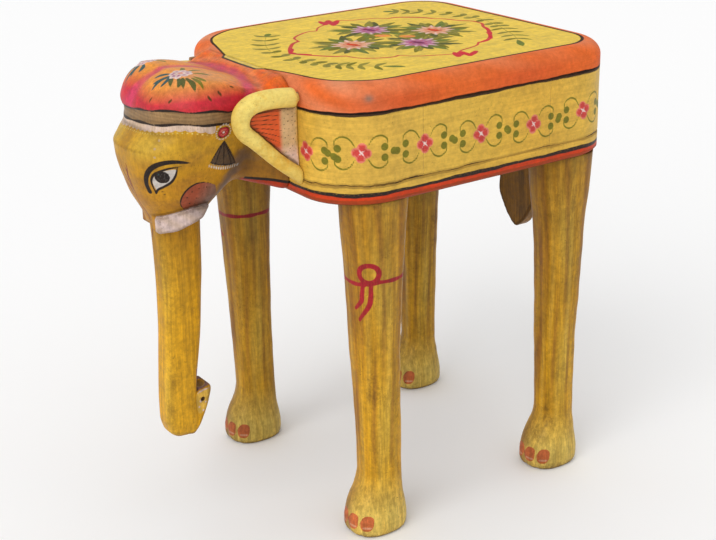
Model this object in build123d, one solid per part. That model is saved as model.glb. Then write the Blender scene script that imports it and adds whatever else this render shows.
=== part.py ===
from build123d import *
import os

# Carved wooden elephant stool: a box seat on four legs, with the elephant's head in front
# and its tail behind. Millimetres, +Z up. The head looks along -Y, and the elephant's left
# side is +X. The origin is on the floor, under the middle of the whole stool.

os.makedirs("parts", exist_ok=True)

# ---- driving dimensions: the box seat ------------------------------------------------
seat_height = 436.0  # floor to the seat's top face
seat_width = 296.0
seat_length = 318.0
corner_radius = 57.0  # of the seat's plan
seat_board_thickness = 24.0
seat_edge_radius = 14.0
side_height = 62.5  # of the rails and corner posts
base_board_thickness = 17.5
base_bevel = 3.0
rail_thickness = 24.0
front_rail_thickness = 34.0  # carries the head
post_width = 72.0
post_length = 88.0
rail_tenon_thickness = 8.0
rail_tenon_length = 12.0
rail_tenon_height = 40.0

# ---- driving dimensions: the legs ----------------------------------------------------
leg_side_inset = 33.0  # leg axis to the seat's side
front_leg_inset = 58.0  # leg axis to the seat's front
rear_leg_inset = 43.5
leg_tenon_radius = 19.0
leg_top_size = 60.0
leg_top_radius = 20.0
knee_drop = 74.0  # below the leg's shoulder
knee_size = 50.0
knee_radius = 19.0
shin_height = 128.0
shin_size = 41.0
ankle_height = 60.0
ankle_size = 39.5
ankle_radius = 18.5
instep_height = 36.0
instep_width = 43.0
instep_length = 47.0
instep_reach = 3.0  # the foot's middle is that far in front of the leg's axis
foot_height = 15.0  # where the foot is widest
foot_width = 50.0
foot_length = 60.5
foot_reach = 5.5
foot_radius = 22.0
sole_setback = 4.0  # the sole is that much smaller all round
wedge_depth = 30.0
wedge_top = 3.0
wedge_tip = 0.8

# ---- driving dimensions: the head ----------------------------------------------------
head_reach = 124.0  # forehead in front of the seat
crown_rise = 6.0  # crown above the seat's top face
ear_overhang = 5.5  # ear's outer side past the start of the seat's round corner
ear_rim_radius = 8.5
ear_web_thickness = 7.0
ear_reach = 56.0  # rim's centre line in front of the seat
ear_top_drop = 13.0  # below the seat's top face, as the drops that follow
ear_bend_drop = 9.0
ear_front_drop = 34.0
ear_foot_drop = 83.5
ear_bend_radius = 15.0
ear_chin_radius = 15.0
skull_gap = 13.5  # skull's widest side to the inner side of the ear
neck_top_drop = 4.0
neck_rise = 1.0  # neck above the underside of the seat
neck_corner_radius = 13.0
cheek_drop = 129.0  # lowest level of the skull
tusk_drop = 111.5  # top of the tusk bars, at the back
tusk_fall = 9.5  # the front end is that much lower
tusk_height = 15.5
tusk_length = 46.0
tusk_setback = 18.0  # tusk's sawn end behind the forehead
tusk_outer = 35.5  # tusk's outer side to the middle, at the back
tusk_front_outer = 21.5  # and at the front
tusk_radius = 3.0

# ---- driving dimensions: trunk and tail ----------------------------------------------
trunk_width = 29.0
trunk_corner_radius = 8.0
trunk_root_depth = 37.0
trunk_root_setback = 25.5  # trunk's front behind the forehead, at its root
trunk_mid_depth = 32.0
trunk_mid_setback = 24.5
trunk_mid_drop = 252.0
trunk_tip_depth = 30.0
trunk_tip_setback = 21.5
trunk_tip_drop = 322.0
trunk_tip_width = 27.0
trunk_chin_drop = 333.0
trunk_chin_depth = 26.0
trunk_chin_setback = 23.5
trunk_chin_width = 24.0
trunk_bottom_drop = 342.0
trunk_end_width = 16.0
trunk_end_depth = 18.0
trunk_end_setback = 29.5
trunk_end_radius = 7.0
curl_width = 22.0
curl_depth = 12.0
curl_top_drop = 298.0
curl_bottom_drop = 340.0
curl_radius = 4.0
trunk_tenon_width = 18.0
trunk_tenon_depth = 22.0
trunk_tenon_length = 34.0
tail_thickness = 18.0
tail_top_drop = 22.0
tail_top_width = 40.0
tail_body_width = 46.0
tail_tuft_width = 56.0
tail_tuft_drop = 188.0
tail_tip_drop = 224.0

# ---- driving dimensions: dowels, pegs and nails --------------------------------------
glue_gap = 0.05  # round a dowel or tenon
neck_dowel_radius = 7.0
neck_dowel_depth = 26.0  # into each of its two pieces, as for the other dowels
neck_dowel_spacing = 68.0
neck_dowel_drop = 50.0
ear_dowel_radius = 2.5
ear_dowel_depth = 8.0
ear_dowel_drop = 80.0  # of the lower one
seat_dowel_radius = 4.0
seat_dowel_depth = 14.0
seat_dowel_spacing = 84.0
trunk_peg_radius = 3.0
trunk_peg_length = 50.0
nail_radius = 1.3
nail_head_radius = 3.2
nail_head_thickness = 1.2
base_nail_length = 38.0
base_nail_spacing = 96.0
tail_nail_length = 36.0
tail_nail_drop = 46.0
tail_nail_spacing = 24.0

# ---- levels and places ---------------------------------------------------------------
half_width = seat_width / 2
half_length = seat_length / 2
seat_middle_y = (head_reach - tail_thickness) / 2
front_y = seat_middle_y - half_length
rear_y = seat_middle_y + half_length
seat_board_z = seat_height - seat_board_thickness
base_top_z = seat_board_z - side_height
leg_height = base_top_z - base_board_thickness
forehead_y = front_y - head_reach
ear_outer_x = half_width - corner_radius + ear_overhang
ear_rim_x = ear_outer_x - ear_rim_radius
ear_inner_x = ear_outer_x - 2 * ear_rim_radius
skull_half_width = ear_inner_x - skull_gap
cheek_z = seat_height - cheek_drop
trunk_root_y = forehead_y + trunk_root_setback + trunk_root_depth / 2


def block(x0, x1, y0, y1, z0, z1):
    """A box between two corners."""
    corner = Pos((x0 + x1) / 2, (y0 + y1) / 2, (z0 + z1) / 2)
    return corner * Box(x1 - x0, y1 - y0, z1 - z0)


def round_pin(start, direction, length, radius):
    """A cylinder from its start, along a direction."""
    return extrude(Plane(start, z_dir=direction) * Circle(radius), length)


def rounded_section(x, y, z, width, depth, radius):
    """A level rounded rectangle."""
    return Pos(x, y, z) * RectangleRounded(width, depth, radius)


def plan_slab(z0, z1):
    """The seat's rounded plan between two levels."""
    plan = Pos(0, seat_middle_y, z0) * RectangleRounded(seat_width, seat_length, corner_radius)
    return extrude(plan, z1 - z0)


def nail(start, direction, length):
    """A round nail: start is the middle of its flat head."""
    shank = round_pin(start, direction, length, nail_radius)
    return shank + round_pin(start, direction, nail_head_thickness, nail_head_radius)


def between_levels(keys, steps):
    """Rows of numbers, with smooth rows worked out between each two keys.

    The first number of a key is its level. The others run through the keys without
    overshooting them.
    """
    rows = []
    for i in range(len(keys) - 1):
        low, high = keys[i], keys[i + 1]
        before = keys[max(i - 1, 0)]
        after = keys[min(i + 2, len(keys) - 1)]
        for step in range(steps):
            t = step / steps
            row = [low[0] + t * (high[0] - low[0])]
            for a, b, c, d in zip(before[1:], low[1:], high[1:], after[1:]):
                here = slope((before[0], a), (low[0], b), (high[0], c)) * (high[0] - low[0])
                there = slope((low[0], b), (high[0], c), (after[0], d)) * (high[0] - low[0])
                row.append(curve_value(b, c, here, there, t))
            rows.append(row)
    rows.append(list(keys[-1]))
    return rows


def slope(first, middle, last):
    """The slope at the middle point, or none where the points turn back there."""
    if first == middle or middle == last:
        return 0.0
    rise = (middle[1] - first[1]) / (middle[0] - first[0])
    fall = (last[1] - middle[1]) / (last[0] - middle[0])
    if rise * fall <= 0:
        return 0.0
    return 2 * rise * fall / (rise + fall)


def curve_value(start, end, start_slope, end_slope, t):
    """A cubic between two values with the given slopes at its ends."""
    a = 2 * start - 2 * end + start_slope + end_slope
    b = 3 * end - 3 * start - 2 * start_slope - end_slope
    return ((a * t + b) * t + start_slope) * t + start


def save(node, *solids):
    """Writes a node, which is one solid or a group of alike solids."""
    shape = solids[0] if len(solids) == 1 else Compound(children=list(solids))
    export_step(shape, f"parts/{node}.step")


# ---- legs, and the wedges that spread their tenons -----------------------------------
leg_places = {
    "front_left": (half_width - leg_side_inset, front_y + front_leg_inset),
    "front_right": (leg_side_inset - half_width, front_y + front_leg_inset),
    "rear_left": (half_width - leg_side_inset, rear_y - rear_leg_inset),
    "rear_right": (leg_side_inset - half_width, rear_y - rear_leg_inset),
}


def leg_body(x, y):
    """A leg from its flat sole to the shoulder under the base board."""
    sole_width = foot_width - 2 * sole_setback
    sole_length = foot_length - 2 * sole_setback
    sole_radius = foot_radius - sole_setback
    keys = [  # level, reach in front of the axis, width, length, corner radius
        (0, foot_reach, sole_width, sole_length, sole_radius),
        (foot_height / 3, foot_reach, foot_width, foot_length, foot_radius),
        (foot_height, foot_reach, foot_width, foot_length, foot_radius),
        (instep_height, instep_reach, instep_width, instep_length, ankle_radius),
        (ankle_height, 0, ankle_size, ankle_size, ankle_radius),
        (shin_height, 0, shin_size, shin_size, ankle_radius),
        (leg_height - knee_drop, 0, knee_size, knee_size, knee_radius),
        (leg_height, 0, leg_top_size, leg_top_size, leg_top_radius),
    ]
    sections = []
    for level, reach, width, length, radius in between_levels(keys, 3):
        sections.append(rounded_section(x, y - reach, level, width, length, radius))
    return loft(sections, ruled=True)


def wedge_space(x, y):
    """The tapered saw cut in the top of a tenon, as long as the bore is wide."""
    cut = Plane.XZ.offset(-y - leg_tenon_radius) * Polyline(
        (x - wedge_tip / 2, seat_board_z - wedge_depth),
        (x + wedge_tip / 2, seat_board_z - wedge_depth),
        (x + wedge_top / 2, seat_board_z),
        (x - wedge_top / 2, seat_board_z),
        close=True,
    )
    return extrude(make_face(cut), 2 * leg_tenon_radius)


wedges = []
for name, (x, y) in leg_places.items():
    tenon = round_pin((x, y, leg_height), (0, 0, 1), seat_board_z - leg_height, leg_tenon_radius)
    saw_cut = wedge_space(x, y)
    save(f"{name}_leg", leg_body(x, y) + tenon - saw_cut)
    wedges.append(saw_cut & tenon)
save("leg_wedges", *wedges)


def leg_bores(z0, z1):
    """The four holes for the leg tenons between two levels."""
    radius = leg_tenon_radius + glue_gap
    return [round_pin((x, y, z0), (0, 0, 1), z1 - z0, radius) for x, y in leg_places.values()]


# ---- dowels and nails, with the holes that they need ---------------------------------
def dowel_and_hole(place, direction, depth, radius):
    """A dowel that lies half in each of two pieces, and its hole."""
    along = Vector(*direction).normalized()
    start = Vector(*place) - along * depth
    gap = Vector(*place) - along * (depth + glue_gap)
    dowel = round_pin(start, direction, 2 * depth, radius)
    return dowel, round_pin(gap, direction, 2 * (depth + glue_gap), radius + glue_gap)


neck_dowels = [
    dowel_and_hole(
        (side * neck_dowel_spacing / 2, front_y, seat_height - neck_dowel_drop),
        (0, 1, 0),
        neck_dowel_depth,
        neck_dowel_radius,
    )
    for side in (1, -1)
]
ear_dowels = {
    side: [
        dowel_and_hole(
            (side * ear_rim_x, front_y, seat_height - drop),
            (0, 1, 0),
            ear_dowel_depth,
            ear_dowel_radius,
        )
        for drop in (ear_top_drop, ear_dowel_drop)
    ]
    for side in (1, -1)
}
seat_dowel_places = [
    (side * (half_width - rail_thickness / 2), seat_middle_y + end * seat_dowel_spacing / 2)
    for side in (1, -1)
    for end in (1, -1)
]
seat_dowel_places.append((0, front_y + front_rail_thickness / 2))
seat_dowel_places.append((0, rear_y - rail_thickness / 2))
seat_dowels = [
    dowel_and_hole((x, y, seat_board_z), (0, 0, 1), seat_dowel_depth, seat_dowel_radius)
    for x, y in seat_dowel_places
]
base_nail_places = [
    (side * (half_width - rail_thickness / 2), seat_middle_y + end * base_nail_spacing / 2)
    for side in (1, -1)
    for end in (1, -1)
]
for middle_y in (front_y + front_rail_thickness / 2, rear_y - rail_thickness / 2):
    base_nail_places += [(end * base_nail_spacing / 2, middle_y) for end in (1, -1)]
base_nails = [nail((x, y, leg_height), (0, 0, 1), base_nail_length) for x, y in base_nail_places]
tail_nails = [
    nail((0, rear_y + tail_thickness, seat_height - drop), (0, -1, 0), tail_nail_length)
    for drop in (tail_nail_drop, tail_nail_drop + tail_nail_spacing)
]
save("neck_dowels", *[dowel for dowel, _ in neck_dowels])
save("ear_dowels", *[dowel for side in (1, -1) for dowel, _ in ear_dowels[side]])
save("seat_dowels", *[dowel for dowel, _ in seat_dowels])
save("base_nails", *base_nails)
save("tail_nails", *tail_nails)
neck_holes = [hole for _, hole in neck_dowels]
ear_holes = [hole for side in (1, -1) for _, hole in ear_dowels[side]]
seat_holes = [hole for _, hole in seat_dowels]

# ---- the box: base board, corner posts, rails and seat board -------------------------
base_board = plan_slab(leg_height, base_top_z)
base_board = chamfer(base_board.faces().sort_by(Axis.Z)[0].edges(), base_bevel)
save("base_board", base_board - leg_bores(leg_height, base_top_z) - base_nails - ear_holes)

seat_board = plan_slab(seat_board_z, seat_height)
seat_board = fillet(seat_board.faces().sort_by(Axis.Z)[-1].edges(), seat_edge_radius)
save("seat_board", seat_board - seat_holes - ear_holes)

side_slab = plan_slab(base_top_z, seat_board_z)
side_slab = side_slab - leg_bores(base_top_z, seat_board_z)
post_inner_x = half_width - post_width
front_post_end = front_y + post_length
rear_post_end = rear_y - post_length
tenon_low_z = (base_top_z + seat_board_z - rail_tenon_height) / 2
tenon_high_z = tenon_low_z + rail_tenon_height


def side_rail(side):
    """A side board with a stub tenon at each end."""
    outer = side * half_width
    inner = outer - side * rail_thickness
    middle = (outer + inner) / 2
    low_x, high_x = sorted((inner, outer))
    board = block(low_x, high_x, front_post_end, rear_post_end, base_top_z, seat_board_z)
    tenons = block(
        middle - rail_tenon_thickness / 2,
        middle + rail_tenon_thickness / 2,
        front_post_end - rail_tenon_length,
        rear_post_end + rail_tenon_length,
        tenon_low_z,
        tenon_high_z,
    )
    return board + tenons


def cross_rail(outer, inner):
    """A front or rear board with a stub tenon at each end."""
    middle = (outer + inner) / 2
    low_y, high_y = sorted((inner, outer))
    board = block(-post_inner_x, post_inner_x, low_y, high_y, base_top_z, seat_board_z)
    tenons = block(
        -post_inner_x - rail_tenon_length,
        post_inner_x + rail_tenon_length,
        middle - rail_tenon_thickness / 2,
        middle + rail_tenon_thickness / 2,
        tenon_low_z,
        tenon_high_z,
    )
    return board + tenons


rails = {
    "left_rail": side_rail(1),
    "right_rail": side_rail(-1),
    "front_rail": cross_rail(front_y, front_y + front_rail_thickness),
    "rear_rail": cross_rail(rear_y, rear_y - rail_thickness),
}
for name, rail in rails.items():
    save(name, rail - seat_holes - neck_holes - ear_holes - base_nails - tail_nails)

post_corners = {
    "front_left_post": (post_inner_x, half_width, front_y, front_post_end),
    "front_right_post": (-half_width, -post_inner_x, front_y, front_post_end),
    "rear_left_post": (post_inner_x, half_width, rear_post_end, rear_y),
    "rear_right_post": (-half_width, -post_inner_x, rear_post_end, rear_y),
}
for name, (x0, x1, y0, y1) in post_corners.items():
    post = side_slab & block(x0, x1, y0, y1, base_top_z, seat_board_z)
    save(name, post - list(rails.values()) - ear_holes)

# ---- head: skull, neck and tusk bars in one block ------------------------------------
skull_sections = [  # drop below the seat's top, front behind the forehead, width share, half depth
    (cheek_drop, 21.0, 0.45, 26.0),
    (114.0, 17.0, 0.50, 29.0),
    (100.0, 12.0, 0.57, 36.0),
    (78.0, 5.0, 0.68, 50.0),
    (57.0, 0.0, 0.80, 60.0),
    (42.0, 8.0, 0.91, 57.0),
    (26.0, 15.0, 1.00, 54.0),
    (14.0, 16.0, 0.97, 52.0),
    (5.0, 21.0, 0.86, 47.0),
    (0.0, 28.0, 0.72, 41.0),
    (-crown_rise * 2 / 3, 37.0, 0.50, 31.0),
    (-crown_rise, 45.0, 0.33, 21.0),
]
neck_sections = [  # reach in front of the seat, half width at the top and the bottom, bottom level
    (0.0, ear_inner_x, ear_inner_x - 9.0, leg_height + neck_rise),
    (9.0, ear_inner_x - 3.0, 52.0, leg_height + 2 * neck_rise),
    (28.0, ear_inner_x - 9.5, 34.0, leg_height + 6 * neck_rise),
    (55.0, ear_inner_x - 22.0, 30.0, leg_height + 18 * neck_rise),
]


def skull():
    """The skull, from the cheeks up to the crown, through level oval sections."""
    ovals = []
    for drop, setback, share, half_depth in between_levels(skull_sections, 2):
        middle_y = forehead_y + setback + half_depth
        level = seat_height - drop
        ovals.append(Pos(0, middle_y, level) * Ellipse(share * skull_half_width, half_depth))
    return loft(ovals, ruled=True)


def neck():
    """The neck, through upright sections that narrow downwards and forwards."""
    sections = []
    top_z = seat_height - neck_top_drop
    for reach, half_top, half_bottom, bottom_z in between_levels(neck_sections, 2):
        corners = Polyline(
            (-half_bottom, bottom_z),
            (half_bottom, bottom_z),
            (half_top, top_z),
            (-half_top, top_z),
            close=True,
        )
        face = make_face(Plane.XZ.offset(reach - front_y) * corners)
        sections.append(fillet(face.vertices(), neck_corner_radius))
    return loft(sections, ruled=True)


def tusk_bar(side):
    """A blunt tusk along the jaw, which spreads and rises from its sawn front end."""
    inner = trunk_width / 2 + glue_gap
    front = forehead_y + tusk_setback
    back_top = seat_height - tusk_drop
    ends = [
        (front, tusk_front_outer, back_top - tusk_fall),
        (front + tusk_length, tusk_outer, back_top),
    ]
    sections = []
    for end_y, outer, top in ends:
        corners = Polyline(
            (inner, top - tusk_height),
            (outer, top - tusk_height),
            (outer, top),
            (inner, top),
            close=True,
        )
        sections.append(make_face(Plane.XZ.offset(-end_y) * corners))
    bar = loft(sections, ruled=True)
    long_edges = [edge for edge in bar.edges() if edge.length > tusk_length]
    outer_edges = [edge for edge in long_edges if edge.center().X > tusk_front_outer]
    bar = fillet(outer_edges, tusk_radius)
    return bar if side > 0 else mirror(bar, Plane.YZ)


tenon_y0 = trunk_root_y - trunk_tenon_depth / 2
tenon_y1 = trunk_root_y + trunk_tenon_depth / 2
tenon_half_width = trunk_tenon_width / 2
tenon_top_z = cheek_z + trunk_tenon_length
trunk_tenon = block(-tenon_half_width, tenon_half_width, tenon_y0, tenon_y1, cheek_z, tenon_top_z)
peg_start = (-trunk_peg_length / 2, trunk_root_y, cheek_z + trunk_tenon_length / 2)
trunk_peg = round_pin(peg_start, (1, 0, 0), trunk_peg_length, trunk_peg_radius)
peg_mouth = (-2 * tusk_outer, peg_start[1], peg_start[2])
peg_hole_length = 2 * tusk_outer + trunk_peg_length / 2 + glue_gap
peg_hole = round_pin(peg_mouth, (1, 0, 0), peg_hole_length, trunk_peg_radius + glue_gap)

behind_the_front = block(-half_width, half_width, front_y, rear_y, 0, 2 * seat_height)
head = skull() + neck() + tusk_bar(1) + tusk_bar(-1)
head = head - behind_the_front - trunk_tenon - peg_hole - neck_holes
save("head", head)
save("trunk_peg", trunk_peg)

# ---- trunk ---------------------------------------------------------------------------
trunk_sections = [  # drop, front behind the forehead, width, depth, corner radius
    (cheek_drop, trunk_root_setback, trunk_width, trunk_root_depth, trunk_corner_radius),
    (trunk_mid_drop, trunk_mid_setback, trunk_width, trunk_mid_depth, trunk_corner_radius),
    (trunk_tip_drop, trunk_tip_setback, trunk_tip_width, trunk_tip_depth, trunk_corner_radius),
    (trunk_chin_drop, trunk_chin_setback, trunk_chin_width, trunk_chin_depth, trunk_corner_radius),
    (trunk_bottom_drop, trunk_end_setback, trunk_end_width, trunk_end_depth, trunk_end_radius),
]


def trunk_shaft():
    """The hanging trunk, from its root under the cheeks to its rounded bottom."""
    sections = []
    for drop, setback, width, depth, radius in between_levels(trunk_sections, 4):
        middle_y = forehead_y + setback + depth / 2
        sections.append(rounded_section(0, middle_y, seat_height - drop, width, depth, radius))
    return loft(sections, ruled=True)


def trunk_curl():
    """The tip, which curls back and up behind the trunk."""
    front = forehead_y + trunk_tip_setback + trunk_tip_depth - curl_depth
    low = seat_height - curl_bottom_drop
    high = seat_height - curl_top_drop
    tip = block(-curl_width / 2, curl_width / 2, front, front + 2 * curl_depth, low, high)
    return fillet(tip.edges().group_by(Axis.Y)[-1], curl_radius)


save("trunk", trunk_shaft() + trunk_curl() + trunk_tenon - peg_hole)


# ---- ears: a thin web inside a rolled rim --------------------------------------------
def left_ear():
    """An ear that stands in front of the seat, butted on its front face."""
    slope_down = (ear_foot_drop - ear_front_drop) / ear_reach
    past = 2 * ear_rim_radius  # the rim runs past the front face and is cut flush
    line = FilletPolyline(
        (front_y + past, seat_height - ear_top_drop),
        (front_y - ear_reach, seat_height - ear_bend_drop),
        (front_y - ear_reach, seat_height - ear_front_drop),
        (front_y + past, seat_height - ear_foot_drop - slope_down * past),
        radius=[ear_bend_radius, ear_chin_radius],
    )
    path = Plane.YZ.offset(ear_rim_x) * line
    rim = sweep(Plane(path @ 0, z_dir=path % 0) * Circle(ear_rim_radius), path=path)
    inside = make_face(line.edges() + [Line(line @ 1, line @ 0)])
    web_side = Plane.YZ.offset(ear_rim_x - ear_web_thickness) * inside
    web = extrude(web_side, ear_web_thickness, dir=(1, 0, 0))
    return rim + web - behind_the_front


save("left_ear", left_ear() - ear_holes)
save("right_ear", mirror(left_ear(), Plane.YZ) - ear_holes)

# ---- tail ----------------------------------------------------------------------------
tail_levels = [  # drop, half width
    (tail_top_drop, tail_top_width / 2),
    (seat_height - leg_height, tail_body_width / 2),
    (tail_tuft_drop, tail_tuft_width / 2),
]
tail_right = [(half, seat_height - drop) for drop, half in tail_levels]
tail_left = [(-half, level) for half, level in reversed(tail_right)]
tail_outline = Polyline(*tail_right, (0, seat_height - tail_tip_drop), *tail_left, close=True)
tail_face = make_face(Plane.XZ.offset(-rear_y - tail_thickness) * tail_outline)
save("tail", extrude(tail_face, tail_thickness, dir=(0, -1, 0)) - tail_nails)
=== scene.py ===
import logging
import math
from collections.abc import Callable, Sequence
from dataclasses import dataclass, field
from enum import Enum

import bpy
import numpy as np
from mathutils import Matrix, Vector


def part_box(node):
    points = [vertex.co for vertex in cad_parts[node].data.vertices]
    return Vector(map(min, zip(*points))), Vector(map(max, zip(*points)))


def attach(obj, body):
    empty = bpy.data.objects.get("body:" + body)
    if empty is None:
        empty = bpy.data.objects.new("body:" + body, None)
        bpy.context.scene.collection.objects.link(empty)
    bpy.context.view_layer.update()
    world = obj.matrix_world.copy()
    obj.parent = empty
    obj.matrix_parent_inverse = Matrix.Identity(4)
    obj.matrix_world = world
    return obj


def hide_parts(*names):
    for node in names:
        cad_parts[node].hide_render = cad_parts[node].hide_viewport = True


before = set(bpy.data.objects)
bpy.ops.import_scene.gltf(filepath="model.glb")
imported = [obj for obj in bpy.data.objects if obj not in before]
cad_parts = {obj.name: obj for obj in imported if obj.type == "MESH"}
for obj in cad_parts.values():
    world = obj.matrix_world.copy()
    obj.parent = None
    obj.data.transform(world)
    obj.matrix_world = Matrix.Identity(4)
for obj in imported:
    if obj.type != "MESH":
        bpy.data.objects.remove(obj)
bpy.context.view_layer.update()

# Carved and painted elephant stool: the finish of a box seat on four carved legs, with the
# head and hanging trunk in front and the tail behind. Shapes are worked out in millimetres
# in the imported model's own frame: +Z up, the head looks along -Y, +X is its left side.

LOG = logging.getLogger("elephant_stool")
MM = 0.001
FAR = 6.0  # how far a brush stroke's distance is followed, and the distance of bare ground
FLOOR = 14.0  # the floor's level in the drawings, where the seat's top lies at 450
EDGE_GAIN = 7.0  # how soon a bent surface counts as an edge that wears
HOLLOW_GAIN = 9.0  # how soon it counts as a hollow that gathers dirt

Points = np.ndarray
Mask = np.ndarray | None
Corners = Sequence[Sequence[float]]
DistanceField = Callable[[Points], np.ndarray]
Plug = bpy.types.NodeSocket
Tree = bpy.types.NodeTree


class Pigment(Enum):
    """The painter's pots, as display values from 0 to 255."""

    MUSTARD = (218, 160, 22)
    OCHRE = (222, 178, 74)
    LEMON = (236, 202, 84)
    STRAW = (240, 216, 118)
    ORANGE = (232, 98, 16)
    VERMILION = (206, 60, 16)
    MARIGOLD = (238, 152, 58)
    CRIMSON = (208, 40, 58)
    CHEEK = (172, 82, 52)
    STREAK_RED = (128, 28, 20)
    AMBER = (190, 122, 30)
    # A wood brown: for streaks, smudges and a strip on the legs, and for painted shade on the neck and the
    # tail.
    WOOD_BROWN = (150, 92, 38)
    TEAL = (40, 84, 86)
    TASSEL = (98, 78, 58)
    WORN = (142, 116, 100)
    MAGENTA = (220, 66, 104)
    KNOT_RED = (184, 30, 46)
    FLOWER_RED = (206, 66, 62)
    ROSE = (226, 128, 104)
    TOENAIL = (210, 110, 60)
    FAN_RED = (228, 92, 44)
    OLIVE = (120, 116, 26)
    MOSS = (144, 136, 52)
    LEAF = (108, 124, 48)
    DARK_LEAF = (82, 88, 38)
    MAUVE = (184, 112, 148)
    PLUM = (122, 34, 84)
    PEACH = (226, 160, 122)
    PALE_PINK = (232, 206, 198)
    WHITE = (238, 234, 226)
    EYE_WHITE = (216, 206, 196)
    LILAC_BROWN = (150, 112, 104)
    TAUPE = (158, 124, 82)
    BEIGE = (214, 180, 134)
    UMBER = (92, 60, 24)
    DARK_UMBER = (58, 36, 18)
    BLACK = (34, 26, 24)

    @property
    def linear(self) -> np.ndarray:
        """The paint's colour in linear light."""
        return to_linear(self.value)


def to_linear(display: Sequence[float]) -> np.ndarray:
    """Turns display values from 0 to 255 into linear light.

    Args:
        display: Red, green and blue.

    Returns:
        The three linear values.
    """
    share = np.asarray(display, float) / 255
    return np.where(share <= 0.04045, share / 12.92, ((share + 0.055) / 1.055) ** 2.4)


def mixture(first: Pigment | np.ndarray, second: Pigment | np.ndarray, share: np.ndarray) -> np.ndarray:
    """Mixes two paints.

    Args:
        first: A pigment, or linear colours.
        second: The paint that is worked into it.
        share: The second paint's share, from 0 to 1.

    Returns:
        The mixed linear colours.
    """
    ground, added = (paint.linear if isinstance(paint, Pigment) else paint for paint in (first, second))
    return ground * (1 - share) + added * share


# ---- shapes ---------------------------------------------------------------------------


@dataclass(frozen=True)
class Span:
    """The space between the lowest and highest corner of a CAD node, at the drawing's levels."""

    low: np.ndarray
    high: np.ndarray

    @classmethod
    def of(cls, *nodes: str) -> "Span":
        """The space that the named nodes take up together."""
        corners = [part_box(node) for node in nodes]
        low = np.min([np.array(pair[0]) for pair in corners], axis=0) / MM
        high = np.max([np.array(pair[1]) for pair in corners], axis=0) / MM
        return cls(low + (0, 0, FLOOR), high + (0, 0, FLOOR))

    @property
    def middle(self) -> np.ndarray:
        """The centre of the space."""
        return (self.low + self.high) / 2


@dataclass(frozen=True)
class Run:
    """A value that runs smoothly through given values, without overshooting them."""

    keys: tuple[tuple[float, float], ...]

    def at(self, place: np.ndarray) -> np.ndarray:
        """Reads the run at some places, and holds its end values beyond its ends.

        Args:
            place: Where to read, in the unit of the keys' first numbers.

        Returns:
            The value at each place.
        """
        steps, values = np.array(self.keys, float).T
        gap = np.diff(steps)
        rise = np.diff(values) / gap
        slope = np.zeros(len(steps))
        before, after = rise[:-1], rise[1:]
        same_way = before * after > 0
        total = np.where(same_way, before + after, 1.0)
        slope[1:-1] = np.where(same_way, 2 * before * after / total, 0.0)
        slope[0], slope[-1] = rise[0], rise[-1]
        inside = np.clip(np.asarray(place, float), steps[0], steps[-1])
        i = np.clip(np.searchsorted(steps, inside, side="right") - 1, 0, len(gap) - 1)
        t = (inside - steps[i]) / gap[i]
        start, end = slope[i] * gap[i], slope[i + 1] * gap[i]
        drop = values[i] - values[i + 1]
        cubic = ((2 * drop + start + end) * t - 3 * drop - 2 * start - end) * t + start
        return cubic * t + values[i]


def part_of(value: np.ndarray, reach: float) -> np.ndarray:
    """How much of a reach a value covers, held between 0 and 1."""
    return np.clip(value / reach, 0, 1)


def hump(value: np.ndarray, width: float) -> np.ndarray:
    """A smooth hump: 1 where the value is 0, and gone a few widths away."""
    return np.exp(-((value / width) ** 2))


def blend_join(first: np.ndarray, second: np.ndarray, width: float) -> np.ndarray:
    """Joins two distance fields with a fillet about as wide as given."""
    share = np.clip(0.5 + 0.5 * (second - first) / width, 0, 1)
    return second * (1 - share) + first * share - width * share * (1 - share)


def blend_cut(first: np.ndarray, second: np.ndarray, width: float) -> np.ndarray:
    """Keeps what lies in both distance fields, with a rounded edge."""
    return -blend_join(-first, -second, width)


def rounded_box(points: Points, low: Sequence[float], high: Sequence[float], radius: float) -> np.ndarray:
    """The distance to a box with rounded edges, in as many dimensions as the points have."""
    low, high = np.asarray(low, float), np.asarray(high, float)
    past = np.abs(points - (low + high) / 2) - (high - low) / 2 + radius
    outside = np.sqrt((np.maximum(past, 0) ** 2).sum(-1))
    return outside + np.minimum(past.max(-1), 0) - radius


def oval(u: np.ndarray, v: np.ndarray, half_u: np.ndarray, half_v: np.ndarray, power: float) -> np.ndarray:
    """The distance to an oval that grows squarer with its power.

    Args:
        u: Place along the first axis, from the oval's middle.
        v: Place along the second axis.
        half_u: Half the oval's size along the first axis.
        half_v: Half the oval's size along the second axis.
        power: 2 for an ellipse, more for a squarer oval.

    Returns:
        The distance, negative inside.
    """
    su, sv = np.abs(u) / half_u + 1e-6, np.abs(v) / half_v + 1e-6
    size = (su**power + sv**power) ** (1 / power)
    lean_u = (su / size) ** (power - 1) / half_u
    lean_v = (sv / size) ** (power - 1) / half_v
    return (size - 1) / np.sqrt(lean_u**2 + lean_v**2)


def path_distance(points: Points, path: Points, radii: np.ndarray) -> np.ndarray:
    """The distance to a brush or tube that follows a path and changes its radius on the way.

    Args:
        points: Where to measure.
        path: The path's points, in as many dimensions.
        radii: The radius at each of the path's points.

    Returns:
        The distance, negative under the brush.
    """
    nearest = np.full(len(points), np.inf)
    for start, end, low, high in zip(path[:-1], path[1:], radii[:-1], radii[1:]):
        along = end - start
        length = max(float(along @ along), 1e-12)
        t = np.clip((points - start) @ along / length, 0, 1)
        off = points - start - t[:, None] * along
        nearest = np.minimum(nearest, np.sqrt((off**2).sum(-1)) - low - t * (high - low))
    return nearest


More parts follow.
